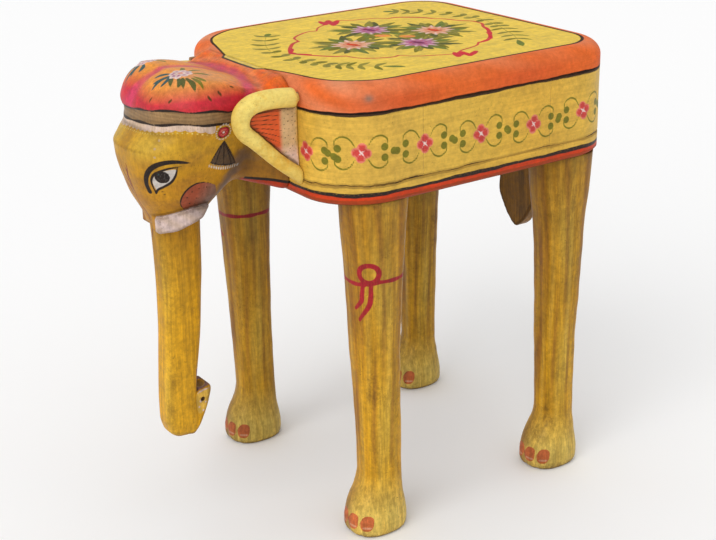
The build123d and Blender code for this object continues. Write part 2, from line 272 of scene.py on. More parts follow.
def outline_distance(points: Points, outline: Points) -> np.ndarray:
    """The distance to a closed flat outline, negative inside it."""
    closed = np.vstack([outline, outline[:1]])
    edge = path_distance(points, closed, np.zeros(len(closed)))
    inside = np.zeros(len(points), bool)
    for (x0, y0), (x1, y1) in zip(closed[:-1], closed[1:]):
        if y0 == y1:
            continue
        level = (points[:, 1] >= min(y0, y1)) & (points[:, 1] < max(y0, y1))
        crossing = x0 + (points[:, 1] - y0) * (x1 - x0) / (y1 - y0)
        inside ^= level & (points[:, 0] < crossing)
    return np.where(inside, -edge, edge)


def smooth_path(corners: Corners, steps: int = 8, closed: bool = False) -> Points:
    """A smooth curve through some points, as a painter's hand would join them.

    Args:
        corners: The points that the curve passes through.
        steps: Short lines from one point to the next.
        closed: Whether the curve returns to its first point.

    Returns:
        The points of the curve.
    """
    p = np.asarray(corners, float)
    if len(p) == 2 and not closed:
        return p[0] + np.linspace(0, 1, steps + 1)[:, None] * (p[1] - p[0])
    ring = np.vstack([p[-1:], p, p[:2]]) if closed else np.vstack([2 * p[0] - p[1], p, 2 * p[-1] - p[-2]])
    t = np.arange(steps)[:, None] / steps
    parts = []
    for a, b, c, d in zip(ring[:-3], ring[1:-2], ring[2:-1], ring[3:]):
        cubic = (-a + 3 * b - 3 * c + d) * t + 2 * a - 5 * b + 4 * c - d
        parts.append(0.5 * (((cubic) * t + c - a) * t + 2 * b))
    curve = np.vstack(parts)
    return curve if closed else np.vstack([curve, p[-1:]])


def waver(place: np.ndarray, seed: float, reach: float) -> np.ndarray:
    """A slow, repeatable unevenness along a length, about as far as the reach."""
    total = np.zeros_like(np.asarray(place, float))
    for octave, share in ((1, 0.5), (2.3, 0.3), (5.1, 0.2)):
        total += share * np.sin(place * octave / 11.0 + seed * (3.7 + octave))
    return total * reach


def turned(angle: float) -> np.ndarray:
    """The flat direction at an angle from the first axis."""
    return np.array([math.cos(angle), math.sin(angle)])


class Shell:
    """A closed mesh in millimetres, made of quads and a few larger faces."""

    def __init__(self, points: Points, quads: np.ndarray, others: Sequence[Sequence[int]] = ()) -> None:
        """Keeps the mesh's parts.

        Args:
            points: One row of three coordinates a vertex.
            quads: One row of four vertex numbers a face.
            others: Faces with another number of corners.
        """
        self.points = np.asarray(points, float)
        self.quads = np.asarray(quads, np.int64)
        self.others = [list(face) for face in others]

    def edges(self) -> np.ndarray:
        """The two ends of each quad's edges, each edge once a quad."""
        return np.concatenate([np.stack([self.quads[:, i], self.quads[:, (i + 1) % 4]], 1) for i in range(4)])

    def spread(self, ends: np.ndarray, values: np.ndarray) -> np.ndarray:
        """Sums values of edges on the edges' first ends."""
        columns = values.reshape(len(ends), -1)
        size = len(self.points)
        sums = [np.bincount(ends, column, size) for column in columns.T]
        return np.stack(sums, 1)

    def neighbour_mean(self, values: np.ndarray) -> np.ndarray:
        """The mean of each vertex's neighbours, for a column or a table of values."""
        a, b = self.edges().T
        table = values.reshape(len(values), -1)
        total = self.spread(a, table[b]) + self.spread(b, table[a])
        count = np.bincount(a, minlength=len(values)) + np.bincount(b, minlength=len(values))
        mean = total / np.maximum(count, 1)[:, None]
        return np.where(count[:, None] > 0, mean, table).reshape(values.shape)

    def normals(self) -> Points:
        """The outward direction at each vertex."""
        corner = self.points[self.quads]
        face = np.cross(corner[:, 2] - corner[:, 0], corner[:, 3] - corner[:, 1])
        total = np.zeros_like(self.points)
        for i in range(4):
            total += self.spread(self.quads[:, i], face)
        return total / np.maximum(np.linalg.norm(total, axis=1), 1e-9)[:, None]

    def bend(self, rounds: int) -> np.ndarray:
        """How sharply the surface turns at each vertex, a millimetre: positive on an edge.

        Args:
            rounds: How often the value is evened out over the neighbours.

        Returns:
            The bend at each vertex.
        """
        normal = self.normals()
        a, b = self.edges().T
        step = self.points[b] - self.points[a]
        turn = ((normal[b] - normal[a]) * step).sum(1) / np.maximum((step**2).sum(1), 1e-6)
        total = self.spread(a, turn) + self.spread(b, turn)
        count = np.bincount(a, minlength=len(normal)) + np.bincount(b, minlength=len(normal))
        value = total[:, 0] / np.maximum(count, 1)
        for _ in range(rounds):
            value = 0.5 * value + 0.5 * self.neighbour_mean(value)
        return value


def carve(shape: DistanceField, low: Sequence[float], high: Sequence[float], pitch: float) -> Shell:
    """Meshes a solid that is given as a distance field.

    Args:
        shape: The distance at any points, negative inside the solid.
        low: Lowest corner of the space that holds the solid.
        high: Highest corner of that space.
        pitch: About how far apart the vertices lie.

    Returns:
        The solid's surface in even quads.
    """
    axes = [np.arange(a - 2 * pitch, b + 3 * pitch, pitch) for a, b in zip(low, high)]
    grid = np.stack(np.meshgrid(*axes, indexing="ij"), -1)
    size = grid.shape[:3]
    values = shape(grid.reshape(-1, 3)).reshape(size)
    inside = values < 0
    corners = [(i, j, k) for i in (0, 1) for j in (0, 1) for k in (0, 1)]
    cells = tuple(n - 1 for n in size)

    def corner_part(array: np.ndarray, corner: tuple[int, int, int]) -> np.ndarray:
        """The array's values at one corner of every cell."""
        return array[tuple(slice(c, c + n) for c, n in zip(corner, cells))]

    filled = sum(corner_part(inside, corner).astype(np.int8) for corner in corners)
    place = np.argwhere((filled > 0) & (filled < 8))
    number = -np.ones(cells, np.int64)
    number[tuple(place.T)] = np.arange(len(place))
    at_corner = [values[tuple((place + corner).T)] for corner in corners]
    total, count = np.zeros((len(place), 3)), np.zeros(len(place))
    for first, start in enumerate(corners):
        for second, end in enumerate(corners):
            if second <= first or sum(abs(a - b) for a, b in zip(start, end)) != 1:
                continue
            a, b = at_corner[first], at_corner[second]
            crossed = (a < 0) != (b < 0)
            t = np.where(crossed, a / np.where(crossed, a - b, 1.0), 0.0)[:, None]
            step = np.subtract(end, start)
            total += np.where(crossed[:, None], start + t * step, 0.0)
            count += crossed
    origin = np.array([axis[0] for axis in axes])
    points = origin + (place + total / count[:, None]) * pitch
    faces = []
    for axis in range(3):
        u, v = (axis + 1) % 3, (axis + 2) % 3
        near = np.moveaxis(inside, (u, v, axis), (0, 1, 2))
        cell = np.moveaxis(number, (u, v, axis), (0, 1, 2))
        low_in, high_in = near[1:-1, 1:-1, :-1], near[1:-1, 1:-1, 1:]
        i, j, k = np.argwhere(low_in != high_in).T
        quad = np.stack([cell[i, j, k], cell[i + 1, j, k], cell[i + 1, j + 1, k], cell[i, j + 1, k]], 1)
        faces.append(np.where(low_in[i, j, k][:, None], quad, quad[:, ::-1]))
    shell = Shell(points, np.concatenate(faces))
    for _ in range(3):
        shell.points += 0.5 * (shell.neighbour_mean(shell.points) - shell.points)
        shell.points = settle(shape, shell.points, pitch)
    return shell


def settle(shape: DistanceField, points: Points, reach: float) -> Points:
    """Moves points onto the surface of a distance field, no further than the reach a step."""
    nudge = 0.2
    moved = points.copy()
    for _ in range(3):
        value = shape(moved)
        lean = np.stack([shape(moved + nudge * axis) - value for axis in np.eye(3)], 1) / nudge
        steep = np.maximum((lean**2).sum(1), 0.05)
        step = np.clip(value / steep, -reach, reach)
        moved -= step[:, None] * lean
    return moved


def ring_shell(rings: Points, close_ends: bool = True) -> Shell:
    """Skins a stack of closed rings, each with as many points, from the bottom up.

    Args:
        rings: Rings by points by three coordinates, each ring counter-clockwise from above.
        close_ends: Whether the first and last ring are closed with a face.

    Returns:
        The skin.
    """
    count, size = rings.shape[:2]
    base = np.arange(count - 1)[:, None] * size
    here = np.arange(size)[None, :]
    after = (here + 1) % size
    quads = np.stack([base + here, base + after, base + size + after, base + size + here], -1)
    ends = []
    if close_ends:
        ends = [list(range(size))[::-1], list(range((count - 1) * size, count * size))]
    return Shell(rings.reshape(-1, 3), quads.reshape(-1, 4), ends)


# ---- paint on the surface -------------------------------------------------------------


class Coat(Enum):
    """The order in which the painter worked. Each coat covers the one before."""

    FILL = "fill"
    MARK = "mark"
    LINE = "line"


class Brushwork:
    """One coat on one piece: how far each vertex lies outside the strokes, and their colour."""

    def __init__(self, size: int) -> None:
        """Starts with a bare piece of that many vertices."""
        self.distance = np.full(size, FAR)
        self.tint = np.tile(Pigment.OCHRE.linear, (size, 1))

    def lay(self, where: np.ndarray, distance: np.ndarray, colour: Pigment | np.ndarray) -> None:
        """Adds a stroke that is given by its distance.

        Args:
            where: The numbers of the vertices that the stroke may reach.
            distance: The distance of each of them, negative under the stroke.
            colour: The stroke's paint, or a linear colour for each of the vertices.
        """
        tint = colour.linear if isinstance(colour, Pigment) else colour
        tint = np.broadcast_to(tint, (len(where), 3))
        newer = (distance < self.distance[where]) | (distance < 0)
        self.tint[where[newer]] = tint[newer]
        self.distance[where] = np.minimum(self.distance[where], distance)

    def stroke(
        self,
        chart: Points,
        path: Points,
        width: float,
        colour: Pigment,
        taper: tuple[float, float] = (1.0, 1.0),
        allowed: Mask = None,
    ) -> None:
        """Paints a brush stroke along a path.

        Args:
            chart: Each vertex's place in the flat chart that the path is drawn in.
            path: The path's points in that chart.
            width: The width of the stroke where it is widest.
            colour: The paint.
            taper: The share of the width that is left at the start and at the end.
            allowed: Which vertices the brush may touch, or all of them.
        """
        t = np.linspace(0, 1, len(path))
        belly = np.sin(np.pi * t)
        ends = taper[0] * (1 - t) + taper[1] * t
        radii = width / 2 * (ends + (1 - ends) * belly)
        where = self.within_reach(chart, path, allowed)
        if len(where):
            self.lay(where, path_distance(chart[where], path, radii), colour)

    def patch(self, chart: Points, outline: Points, colour: Pigment, allowed: Mask = None) -> None:
        """Fills a closed outline that is drawn in the chart."""
        where = self.within_reach(chart, outline, allowed)
        if len(where):
            self.lay(where, outline_distance(chart[where], outline), colour)

    def cover(self, distance: np.ndarray, colour: Pigment | np.ndarray, allowed: Mask = None) -> None:
        """Lays a stroke whose distance is known at every vertex.

        Args:
            distance: The distance of each vertex, negative under the stroke.
            colour: The paint, or a linear colour for each vertex.
            allowed: Which vertices the brush may touch, or all of them.
        """
        where = np.arange(len(distance)) if allowed is None else np.flatnonzero(allowed)
        self.lay(where, distance[where], colour if isinstance(colour, Pigment) else colour[where])

    @staticmethod
    def within_reach(chart: Points, path: Points, allowed: Mask) -> np.ndarray:
        """The numbers of the allowed vertices that lie near a path in the chart."""
        near = ((chart > path.min(0) - FAR) & (chart < path.max(0) + FAR)).all(1)
        return np.flatnonzero(near if allowed is None else near & allowed)

    def dot(
        self, chart: Points, centre: Sequence[float], radius: float, colour: Pigment, allowed: Mask = None
    ) -> None:
        """Dabs a round dot."""
        middle = np.asarray(centre, float)
        self.stroke(chart, np.stack([middle, middle]), 2 * radius, colour, (1.0, 1.0), allowed)


class PaintedShell:
    """A shell with the ground colour, the coats of brushwork and the painted shade that it carries."""

    def __init__(self, shell: Shell, ground: Pigment) -> None:
        """Grounds the whole shell in one paint.

        Args:
            shell: The mesh to paint.
            ground: The paint of the ground.
        """
        self.shell = shell
        size = len(shell.points)
        self.ground = np.tile(ground.linear, (size, 1))
        self.fill, self.mark, self.line = (Brushwork(size) for _ in Coat)
        self.coats = dict(zip(Coat, (self.fill, self.mark, self.line)))
        # Painted shade: a factor on the paint that is lowered where a surface is to look shaded.
        self.shade = np.ones(size)
        self.grain = self.shell.points

    def tone(self, amount: np.ndarray, colour: Pigment) -> None:
        """Works a second paint into the wet ground, by an amount from 0 to 1 a vertex."""
        self.ground = mixture(self.ground, colour, np.clip(amount, 0, 1)[:, None])


# ---- shader node groups ---------------------------------------------------------------


class Graph:
    """Places shader nodes in one tree and links them."""

    def __init__(self, tree: Tree) -> None:
        """Takes the tree that the nodes go into."""
        self.tree = tree

    def add(self, kind: str, **settings: object) -> bpy.types.Node:
        """Adds a node and sets its properties."""
        node = self.tree.nodes.new(kind)
        for name, value in settings.items():
            setattr(node, name, value)
        return node

    def feed(self, socket: Plug, value: object) -> None:
        """Links a socket to another, or sets its value."""
        if isinstance(value, Plug):
            self.tree.links.new(value, socket)
        else:
            socket.default_value = value

    def maths(self, operation: str, *values: object, clamp: bool = False) -> Plug:
        """A math node's result."""
        node = self.add("ShaderNodeMath", operation=operation, use_clamp=clamp)
        for socket, value in zip(node.inputs, values):
            self.feed(socket, value)
        return node.outputs[0]

    def mixed(self, share: object, first: object, second: object, blend: str = "MIX") -> Plug:
        """The mix of two colours."""
        node = self.add("ShaderNodeMix", data_type="RGBA", blend_type=blend)
        for name, value in (("Factor_Float", share), ("A_Color", first), ("B_Color", second)):
            socket = next(s for s in node.inputs if s.identifier == name)
            self.feed(socket, value)
        return next(s for s in node.outputs if s.identifier == "Result_Color")

    def noise(self, vector: object, scale: object, detail: float = 3.0, rough: float = 0.5) -> Plug:
        """The value of a noise texture."""
        node = self.add("ShaderNodeTexNoise")
        self.feed(node.inputs["Vector"], vector)
        self.feed(node.inputs["Scale"], scale)
        node.inputs["Detail"].default_value = detail
        node.inputs["Roughness"].default_value = rough
        return node.outputs["Fac"]

    def stretched(self, vector: object, scale: Sequence[float]) -> Plug:
        """Coordinates multiplied along each axis."""
        node = self.add("ShaderNodeVectorMath", operation="MULTIPLY")
        self.feed(node.inputs[0], vector)
        node.inputs[1].default_value = scale
        return node.outputs[0]

    def ramp(self, value: object, low: object, high: object) -> Plug:
        """A smooth step from 0 at the low value to 1 at the high one."""
        node = self.add("ShaderNodeMapRange", interpolation_type="SMOOTHSTEP")
        for name, part in (("Value", value), ("From Min", low), ("From Max", high)):
            self.feed(node.inputs[name], part)
        return node.outputs[0]

    def group(self, tree: Tree, **inputs: object) -> bpy.types.Node:
        """Places a node group, with its inputs given by name, underscores for spaces."""
        node = self.add("ShaderNodeGroup", node_tree=tree)
        for name, value in inputs.items():
            self.feed(node.inputs[name.replace("_", " ")], value)
        return node


class Socket(Enum):
    """The kinds of socket that the node groups have."""

    VALUE = "NodeSocketFloat"
    COLOUR = "NodeSocketColor"
    VECTOR = "NodeSocketVector"


def new_group(
    name: str, inputs: Sequence[tuple[str, Socket]], outputs: Sequence[tuple[str, Socket]]
) -> tuple[Graph, bpy.types.Node, bpy.types.Node]:
    """Starts a shader node group with named sockets.

    Args:
        name: The group's name.
        inputs: The name and kind of each input.
        outputs: The name and kind of each output.

    Returns:
        The group's graph, its input node and its output node.
    """
    tree = bpy.data.node_groups.new(name, "ShaderNodeTree")
    for label, kind in inputs:
        tree.interface.new_socket(label, in_out="INPUT", socket_type=kind.value)
    for label, kind in outputs:
        tree.interface.new_socket(label, in_out="OUTPUT", socket_type=kind.value)
    graph = Graph(tree)
    return graph, graph.add("NodeGroupInput"), graph.add("NodeGroupOutput")


def wood_grain_group() -> Tree:
    """Grain that runs along Z of its coordinates: streaks, fine pores and their relief."""
    graph, given, result = new_group(
        "Wood grain",
        [("Vector", Socket.VECTOR), ("Streak Size", Socket.VALUE), ("Waviness", Socket.VALUE)],
        [("Streaks", Socket.VALUE), ("Pores", Socket.VALUE), ("Height", Socket.VALUE)],
    )
    vector, size, wavy = given.outputs["Vector"], given.outputs["Streak Size"], given.outputs["Waviness"]
    drift = graph.noise(graph.stretched(vector, (1.0, 1.0, 0.3)), 14.0, 2.0)
    push = graph.maths("MULTIPLY", graph.maths("SUBTRACT", drift, 0.5), wavy)
    shift = graph.add("ShaderNodeVectorMath", operation="ADD")
    graph.feed(shift.inputs[0], graph.stretched(vector, (1.0, 1.0, 0.045)))
    graph.feed(shift.inputs[1], push)
    broad = graph.noise(shift.outputs[0], size, 4.0, 0.62)
    fine = graph.noise(shift.outputs[0], graph.maths("MULTIPLY", size, 3.1), 3.0, 0.6)
    streaks = graph.maths("ADD", graph.maths("MULTIPLY", broad, 0.62), graph.maths("MULTIPLY", fine, 0.38))
    pore_noise = graph.noise(graph.stretched(vector, (1.0, 1.0, 0.12)), 1500.0, 2.0, 0.5)
    pores = graph.ramp(pore_noise, 0.60, 0.70)
    relief = graph.maths("SUBTRACT", streaks, graph.maths("MULTIPLY", pores, 0.35))
    graph.feed(result.inputs["Streaks"], graph.ramp(streaks, 0.36, 0.66))
    graph.feed(result.inputs["Pores"], pores)
    graph.feed(result.inputs["Height"], relief)
    return graph.tree


def brush_coat_group() -> Tree:
    """One coat of brushwork: covers the colour under it where the distance is negative."""
    graph, given, result = new_group(
        "Brush coat",
        [
            ("Vector", Socket.VECTOR),
            ("Under", Socket.COLOUR),
            ("Paint", Socket.COLOUR),
            ("Distance", Socket.VALUE),
            ("Softness", Socket.VALUE),
            ("Waver", Socket.VALUE),
            ("Dryness", Socket.VALUE),
        ],
        [("Colour", Socket.COLOUR), ("Cover", Socket.VALUE)],
    )
    vector = given.outputs["Vector"]
    wobble = graph.maths("SUBTRACT", graph.noise(vector, 420.0, 2.0), 0.5)
    edge = graph.maths("MULTIPLY_ADD", wobble, given.outputs["Waver"], given.outputs["Distance"])
    soft = given.outputs["Softness"]
    cover = graph.ramp(edge, soft, graph.maths("MULTIPLY", soft, -1.0))
    hairs = graph.noise(graph.stretched(vector, (1.0, 1.0, 0.4)), 900.0, 3.0, 0.65)
    gaps = graph.ramp(hairs, 0.52, 0.68)
    kept = graph.maths("SUBTRACT", 1.0, graph.maths("MULTIPLY", gaps, given.outputs["Dryness"]))
    covered = graph.maths("MULTIPLY", cover, kept, clamp=True)
    body = graph.noise(vector, 160.0, 3.0, 0.6)
    tone = graph.maths("MULTIPLY_ADD", body, 0.34, 0.83)
    toned = graph.add("ShaderNodeVectorMath", operation="SCALE")
    graph.feed(toned.inputs[0], given.outputs["Paint"])
    graph.feed(toned.inputs["Scale"], tone)
    graph.feed(result.inputs["Colour"], graph.mixed(covered, given.outputs["Under"], toned.outputs[0]))
    graph.feed(result.inputs["Cover"], covered)
    return graph.tree


def rubbed_group() -> Tree:
    """Where handling has rubbed the paint: on edges, and in patches broken up by noise."""
    graph, given, result = new_group(
        "Rubbed paint",
        [
            ("Vector", Socket.VECTOR),
            ("Edge", Socket.VALUE),
            ("Edge Wear", Socket.VALUE),
            ("Patch Wear", Socket.VALUE),
        ],
        [("Rubbed", Socket.VALUE), ("Chipped", Socket.VALUE)],
    )
    vector = given.outputs["Vector"]
    broad = graph.noise(vector, 26.0, 4.0, 0.6)
    crumbs = graph.noise(vector, 340.0, 3.0, 0.7)
    edge = graph.maths("MULTIPLY", given.outputs["Edge"], given.outputs["Edge Wear"])
    patch = graph.maths("MULTIPLY", graph.ramp(broad, 0.50, 0.78), given.outputs["Patch Wear"])
    worn = graph.maths("ADD", edge, patch)
    mottled = graph.maths("MULTIPLY_ADD", graph.maths("SUBTRACT", crumbs, 0.5), 1.1, worn)
    graph.feed(result.inputs["Rubbed"], graph.ramp(mottled, 0.18, 0.72))
    graph.feed(result.inputs["Chipped"], graph.ramp(mottled, 0.74, 0.86))
    return graph.tree


def grime_group() -> Tree:
    """Old dirt: in hollows, in small dark flecks and as a faint mottle."""
    graph, given, result = new_group(
        "Grime",
        [("Vector", Socket.VECTOR), ("Hollow", Socket.VALUE), ("Fleck Amount", Socket.VALUE)],
        [("Dirt", Socket.VALUE), ("Mottle", Socket.VALUE)],
    )
    vector = given.outputs["Vector"]
    cloud = graph.noise(vector, 60.0, 4.0, 0.6)
    settled = graph.maths("MULTIPLY", given.outputs["Hollow"], graph.maths("MULTIPLY_ADD", cloud, 1.4, 0.2))
    speckle = graph.noise(vector, 620.0, 2.0, 0.5)
    where = graph.ramp(graph.noise(vector, 34.0, 3.0, 0.6), 0.42, 0.66)
    flecks = graph.maths("MULTIPLY", graph.ramp(speckle, 0.64, 0.72), where)
    dirt = graph.maths("MULTIPLY_ADD", flecks, given.outputs["Fleck Amount"], settled, clamp=True)
    graph.feed(result.inputs["Dirt"], dirt)
    stain = graph.maths("MULTIPLY", graph.noise(vector, 210.0, 4.0, 0.7), 0.6)
    stain = graph.maths("MULTIPLY_ADD", cloud, 0.4, stain)
    graph.feed(result.inputs["Mottle"], graph.ramp(stain, 0.30, 0.70))
    return graph.tree


@dataclass(frozen=True)
class Effects:
    """The node groups that the materials share, each built once."""

    grain: Tree = field(default_factory=wood_grain_group)
    coat: Tree = field(default_factory=brush_coat_group)
    rubbed: Tree = field(default_factory=rubbed_group)
    grime: Tree = field(default_factory=grime_group)


class GrainWay(Enum):
    """The way that the grain runs, as the order that brings its direction to the third place."""

    UPRIGHT = (0, 1, 2)
    LENGTHWISE = (0, 2, 1)


@dataclass(frozen=True)
class PaintedFinish:
    """Hand-painted wood under a thin varnish, rubbed by years of use."""

    name: str
    way: GrainWay
    rubbed_to: Pigment = Pigment.UMBER
    streak_size: float = 260.0
    streak_depth: float = 0.30
    edge_wear: float = 1.0
    patch_wear: float = 0.35
    rub_share: float = 0.5
    fleck_amount: float = 0.5
    dirt_share: float = 0.7
    mottle: float = 0.25
    line_dryness: float = 0.25
    roughness: float = 0.46
    gloss: float = 0.06
    shine: float = 0.16
    relief_mm: float = 0.22

    def material(self, effects: Effects) -> bpy.types.Material:
        """Builds the finish as a material.

        Args:
            effects: The shared node groups.

        Returns:
            The material, which reads the paint that its mesh carries.
        """
        material = bpy.data.materials.new(self.name)
        material.use_nodes = True
        material.node_tree.nodes.clear()
        graph = Graph(material.node_tree)
        place = graph.add("ShaderNodeTexCoord").outputs["Object"]
        along = self.attribute(graph, "grain", "Vector")
        grain = graph.group(effects.grain, Vector=along, Streak_Size=self.streak_size, Waviness=0.012)
        colour = self.attribute(graph, "ground", "Color")
        coats = {}
        for coat, waver_mm, dryness in (
            (Coat.FILL, 0.5, 0.0),
            (Coat.MARK, 0.5, 0.12),
            (Coat.LINE, 0.35, self.line_dryness),
        ):
            node = graph.group(
                effects.coat,
                Vector=along,
                Under=colour,
                Paint=self.attribute(graph, f"{coat.value}_tint", "Color"),
                Distance=self.attribute(graph, coat.value, "Fac"),
                Softness=0.35,
                Waver=waver_mm,
                Dryness=dryness,
            )
            colour, coats[coat] = node.outputs["Colour"], node.outputs["Cover"]
        streaks = grain.outputs["Streaks"]
        streak_share = graph.maths("MULTIPLY", graph.maths("SUBTRACT", 1.0, streaks), self.streak_depth)
        colour = graph.mixed(streak_share, colour, (*(0.42 * self.rubbed_to.linear), 1.0))
        wear = graph.group(
            effects.rubbed,
            Vector=place,
            Edge=self.attribute(graph, "edge", "Fac"),
            Edge_Wear=self.edge_wear,
            Patch_Wear=self.patch_wear,
        )
        rub = graph.maths("MULTIPLY", wear.outputs["Rubbed"], self.rub_share)
        colour = graph.mixed(rub, colour, (*self.rubbed_to.linear, 1.0))
        grime = graph.group(
            effects.grime,
            Vector=place,
            Hollow=self.attribute(graph, "hollow", "Fac"),
            Fleck_Amount=self.fleck_amount,
        )
        dirt = graph.maths("MULTIPLY", grime.outputs["Dirt"], self.dirt_share)
        colour = graph.mixed(dirt, colour, (*(0.5 * Pigment.UMBER.linear), 1.0))
        # The mottle's stains, times the painted shade that the mesh carries.
        mottle_and_shade = graph.maths("MULTIPLY_ADD", grime.outputs["Mottle"], 2 * self.mottle, 1.0 - self.mottle)
        mottle_and_shade = graph.maths("MULTIPLY", mottle_and_shade, self.attribute(graph, "shade", "Fac"))
        toned = graph.add("ShaderNodeVectorMath", operation="SCALE")
        graph.feed(toned.inputs[0], colour)
        graph.feed(toned.inputs["Scale"], mottle_and_shade)
        shader = graph.add("ShaderNodeBsdfPrincipled")
        shader.inputs["Coat Weight"].default_value = self.gloss
        shader.inputs["Coat Roughness"].default_value = 0.28
        shader.inputs["Specular IOR Level"].default_value = self.shine
        graph.feed(shader.inputs["Base Color"], toned.outputs[0])
        rough = graph.maths("MULTIPLY_ADD", grime.outputs["Mottle"], 0.22, self.roughness - 0.11)
        rough = graph.maths("MULTIPLY_ADD", wear.outputs["Rubbed"], 0.12, rough)
        graph.feed(shader.inputs["Roughness"], rough)
        paint_relief = graph.maths("ADD", coats[Coat.MARK], coats[Coat.LINE])
        height = graph.maths("MULTIPLY_ADD", paint_relief, 0.25, grain.outputs["Height"])
        height = graph.maths("MULTIPLY_ADD", wear.outputs["Chipped"], -0.5, height)
        height = graph.maths("MULTIPLY_ADD", grime.outputs["Mottle"], 0.3, height)
        bump = graph.add("ShaderNodeBump")
        bump.inputs["Strength"].default_value = 0.55
        bump.inputs["Distance"].default_value = self.relief_mm * MM
        graph.feed(bump.inputs["Height"], height)
        graph.feed(shader.inputs["Normal"], bump.outputs[0])
        output = graph.add("ShaderNodeOutputMaterial")
        graph.feed(output.inputs["Surface"], shader.outputs[0])
        return material

    @staticmethod
    def attribute(graph: Graph, name: str, output: str) -> Plug:
        """A value or colour that the mesh carries at its vertices."""
        node = graph.add("ShaderNodeAttribute", attribute_type="GEOMETRY", attribute_name=name)
        return node.outputs[output]


@dataclass(frozen=True)
class PlainFinish:
    """Unpainted material of the hidden fastenings."""

    name: str
    light: tuple[float, float, float]
    dark: tuple[float, float, float]
    metallic: float
    roughness: float

    def material(self, effects: Effects) -> bpy.types.Material:
        """Builds the finish from the shared grain and grime groups."""
        material = bpy.data.materials.new(self.name)
        material.use_nodes = True
        material.node_tree.nodes.clear()
        graph = Graph(material.node_tree)
        space = graph.add("ShaderNodeTexCoord").outputs["Object"]
        grain = graph.group(effects.grain, Vector=space, Streak_Size=420.0, Waviness=0.01)
        grime = graph.group(effects.grime, Vector=space, Hollow=0.0, Fleck_Amount=0.8)
        light, dark = (*to_linear(self.light), 1.0), (*to_linear(self.dark), 1.0)
        colour = graph.mixed(grain.outputs["Streaks"], dark, light)
        colour = graph.mixed(grime.outputs["Dirt"], colour, dark)
        shader = graph.add("ShaderNodeBsdfPrincipled")
        shader.inputs["Metallic"].default_value = self.metallic
        graph.feed(shader.inputs["Base Color"], colour)
        rough = graph.maths("MULTIPLY_ADD", grime.outputs["Mottle"], 0.25, self.roughness)
        graph.feed(shader.inputs["Roughness"], rough)
        bump = graph.add("ShaderNodeBump")
        bump.inputs["Strength"].default_value = 0.5
        bump.inputs["Distance"].default_value = 0.15 * MM
        graph.feed(bump.inputs["Height"], grain.outputs["Height"])
        graph.feed(shader.inputs["Normal"], bump.outputs[0])
        output = graph.add("ShaderNodeOutputMaterial")
        graph.feed(output.inputs["Surface"], shader.outputs[0])
        return material


# ---- making a piece -------------------------------------------------------------------


class Workshop:
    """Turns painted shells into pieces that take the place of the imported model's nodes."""

    def __init__(self) -> None:
        """Builds the shared effects and an empty shelf of materials."""
        self.effects = Effects()
        self.shelf: dict[str, bpy.types.Material] = {}

    def finish(self, finish: PaintedFinish | PlainFinish) -> bpy.types.Material:
        """A finish's material, built the first time it is asked for."""
        if finish.name not in self.shelf:
            self.shelf[finish.name] = finish.material(self.effects)
        return self.shelf[finish.name]

    def piece(
        self, name: str, painted: PaintedShell, finish: PaintedFinish, nodes: Sequence[str], slot: str
    ) -> bpy.types.Object:
        """Makes one piece, sets it on the root body and hides the nodes that it stands for.

        Args:
            name: The piece's name.
            painted: Its mesh with the paint on it.
            finish: Its finish.
            nodes: The CAD nodes that it stands for.
            slot: Not used.

        Returns:
            The Blender object.
        """
        shell = painted.shell
        mesh = bpy.data.meshes.new(name)
        sizes = [4] * len(shell.quads) + [len(face) for face in shell.others]
        loops = np.concatenate([shell.quads.ravel(), *[np.asarray(face) for face in shell.others]])
        mesh.vertices.add(len(shell.points))
        mesh.vertices.foreach_set("co", ((shell.points - (0, 0, FLOOR)) * MM).astype(np.float32).ravel())
        mesh.loops.add(len(loops))
        mesh.loops.foreach_set("vertex_index", loops.astype(np.int32))
        mesh.polygons.add(len(sizes))
        starts = np.concatenate([[0], np.cumsum(sizes)[:-1]]).astype(np.int32)
        mesh.polygons.foreach_set("loop_start", starts)
        mesh.update(calc_edges=True)
        mesh.validate()
        smooth = np.arange(len(mesh.polygons)) < len(shell.quads)
        mesh.polygons.foreach_set("use_smooth", smooth)
        bend = shell.bend(2)
        self.carry(mesh, "edge", np.clip(bend * EDGE_GAIN, 0, 1))
        self.carry(mesh, "hollow", np.clip(-bend * HOLLOW_GAIN, 0, 1))
        self.carry(mesh, "shade", painted.shade)
        self.carry(mesh, "grain", painted.grain[:, finish.way.value] * MM)
        self.carry(mesh, "ground", painted.ground)
        for coat, brushwork in painted.coats.items():
            self.carry(mesh, coat.value, brushwork.distance)
            self.carry(mesh, f"{coat.value}_tint", brushwork.tint)
        piece = bpy.data.objects.new(name, mesh)
        bpy.context.scene.collection.objects.link(piece)
        mesh.materials.append(self.finish(finish))
        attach(piece, "root")
        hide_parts(*nodes)
        LOG.info("%s: %d vertices, stands for %s", name, len(shell.points), ", ".join(nodes))
        return piece

    @staticmethod
    def carry(mesh: bpy.types.Mesh, name: str, values: np.ndarray) -> None:
        """Stores a value or a colour at each vertex of a mesh."""
        if values.ndim == 1:
            attribute = mesh.attributes.new(name, "FLOAT", "POINT")
            attribute.data.foreach_set("value", values.astype(np.float32))
            return
        attribute = mesh.attributes.new(name, "FLOAT_COLOR", "POINT")
        opaque = np.concatenate([values, np.ones((len(values), 1))], axis=1)
        attribute.data.foreach_set("color", opaque.astype(np.float32).ravel())

    def dress(self, nodes: Sequence[str], finish: PlainFinish) -> None:
        """Gives CAD nodes that keep their own meshes a material."""
        for name in nodes:
            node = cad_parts[name]
            node.data.materials.clear()
            node.data.materials.append(self.finish(finish))
            LOG.info("%s: kept as packed, in %s", name, finish.name)


# ---- the box seat ---------------------------------------------------------------------


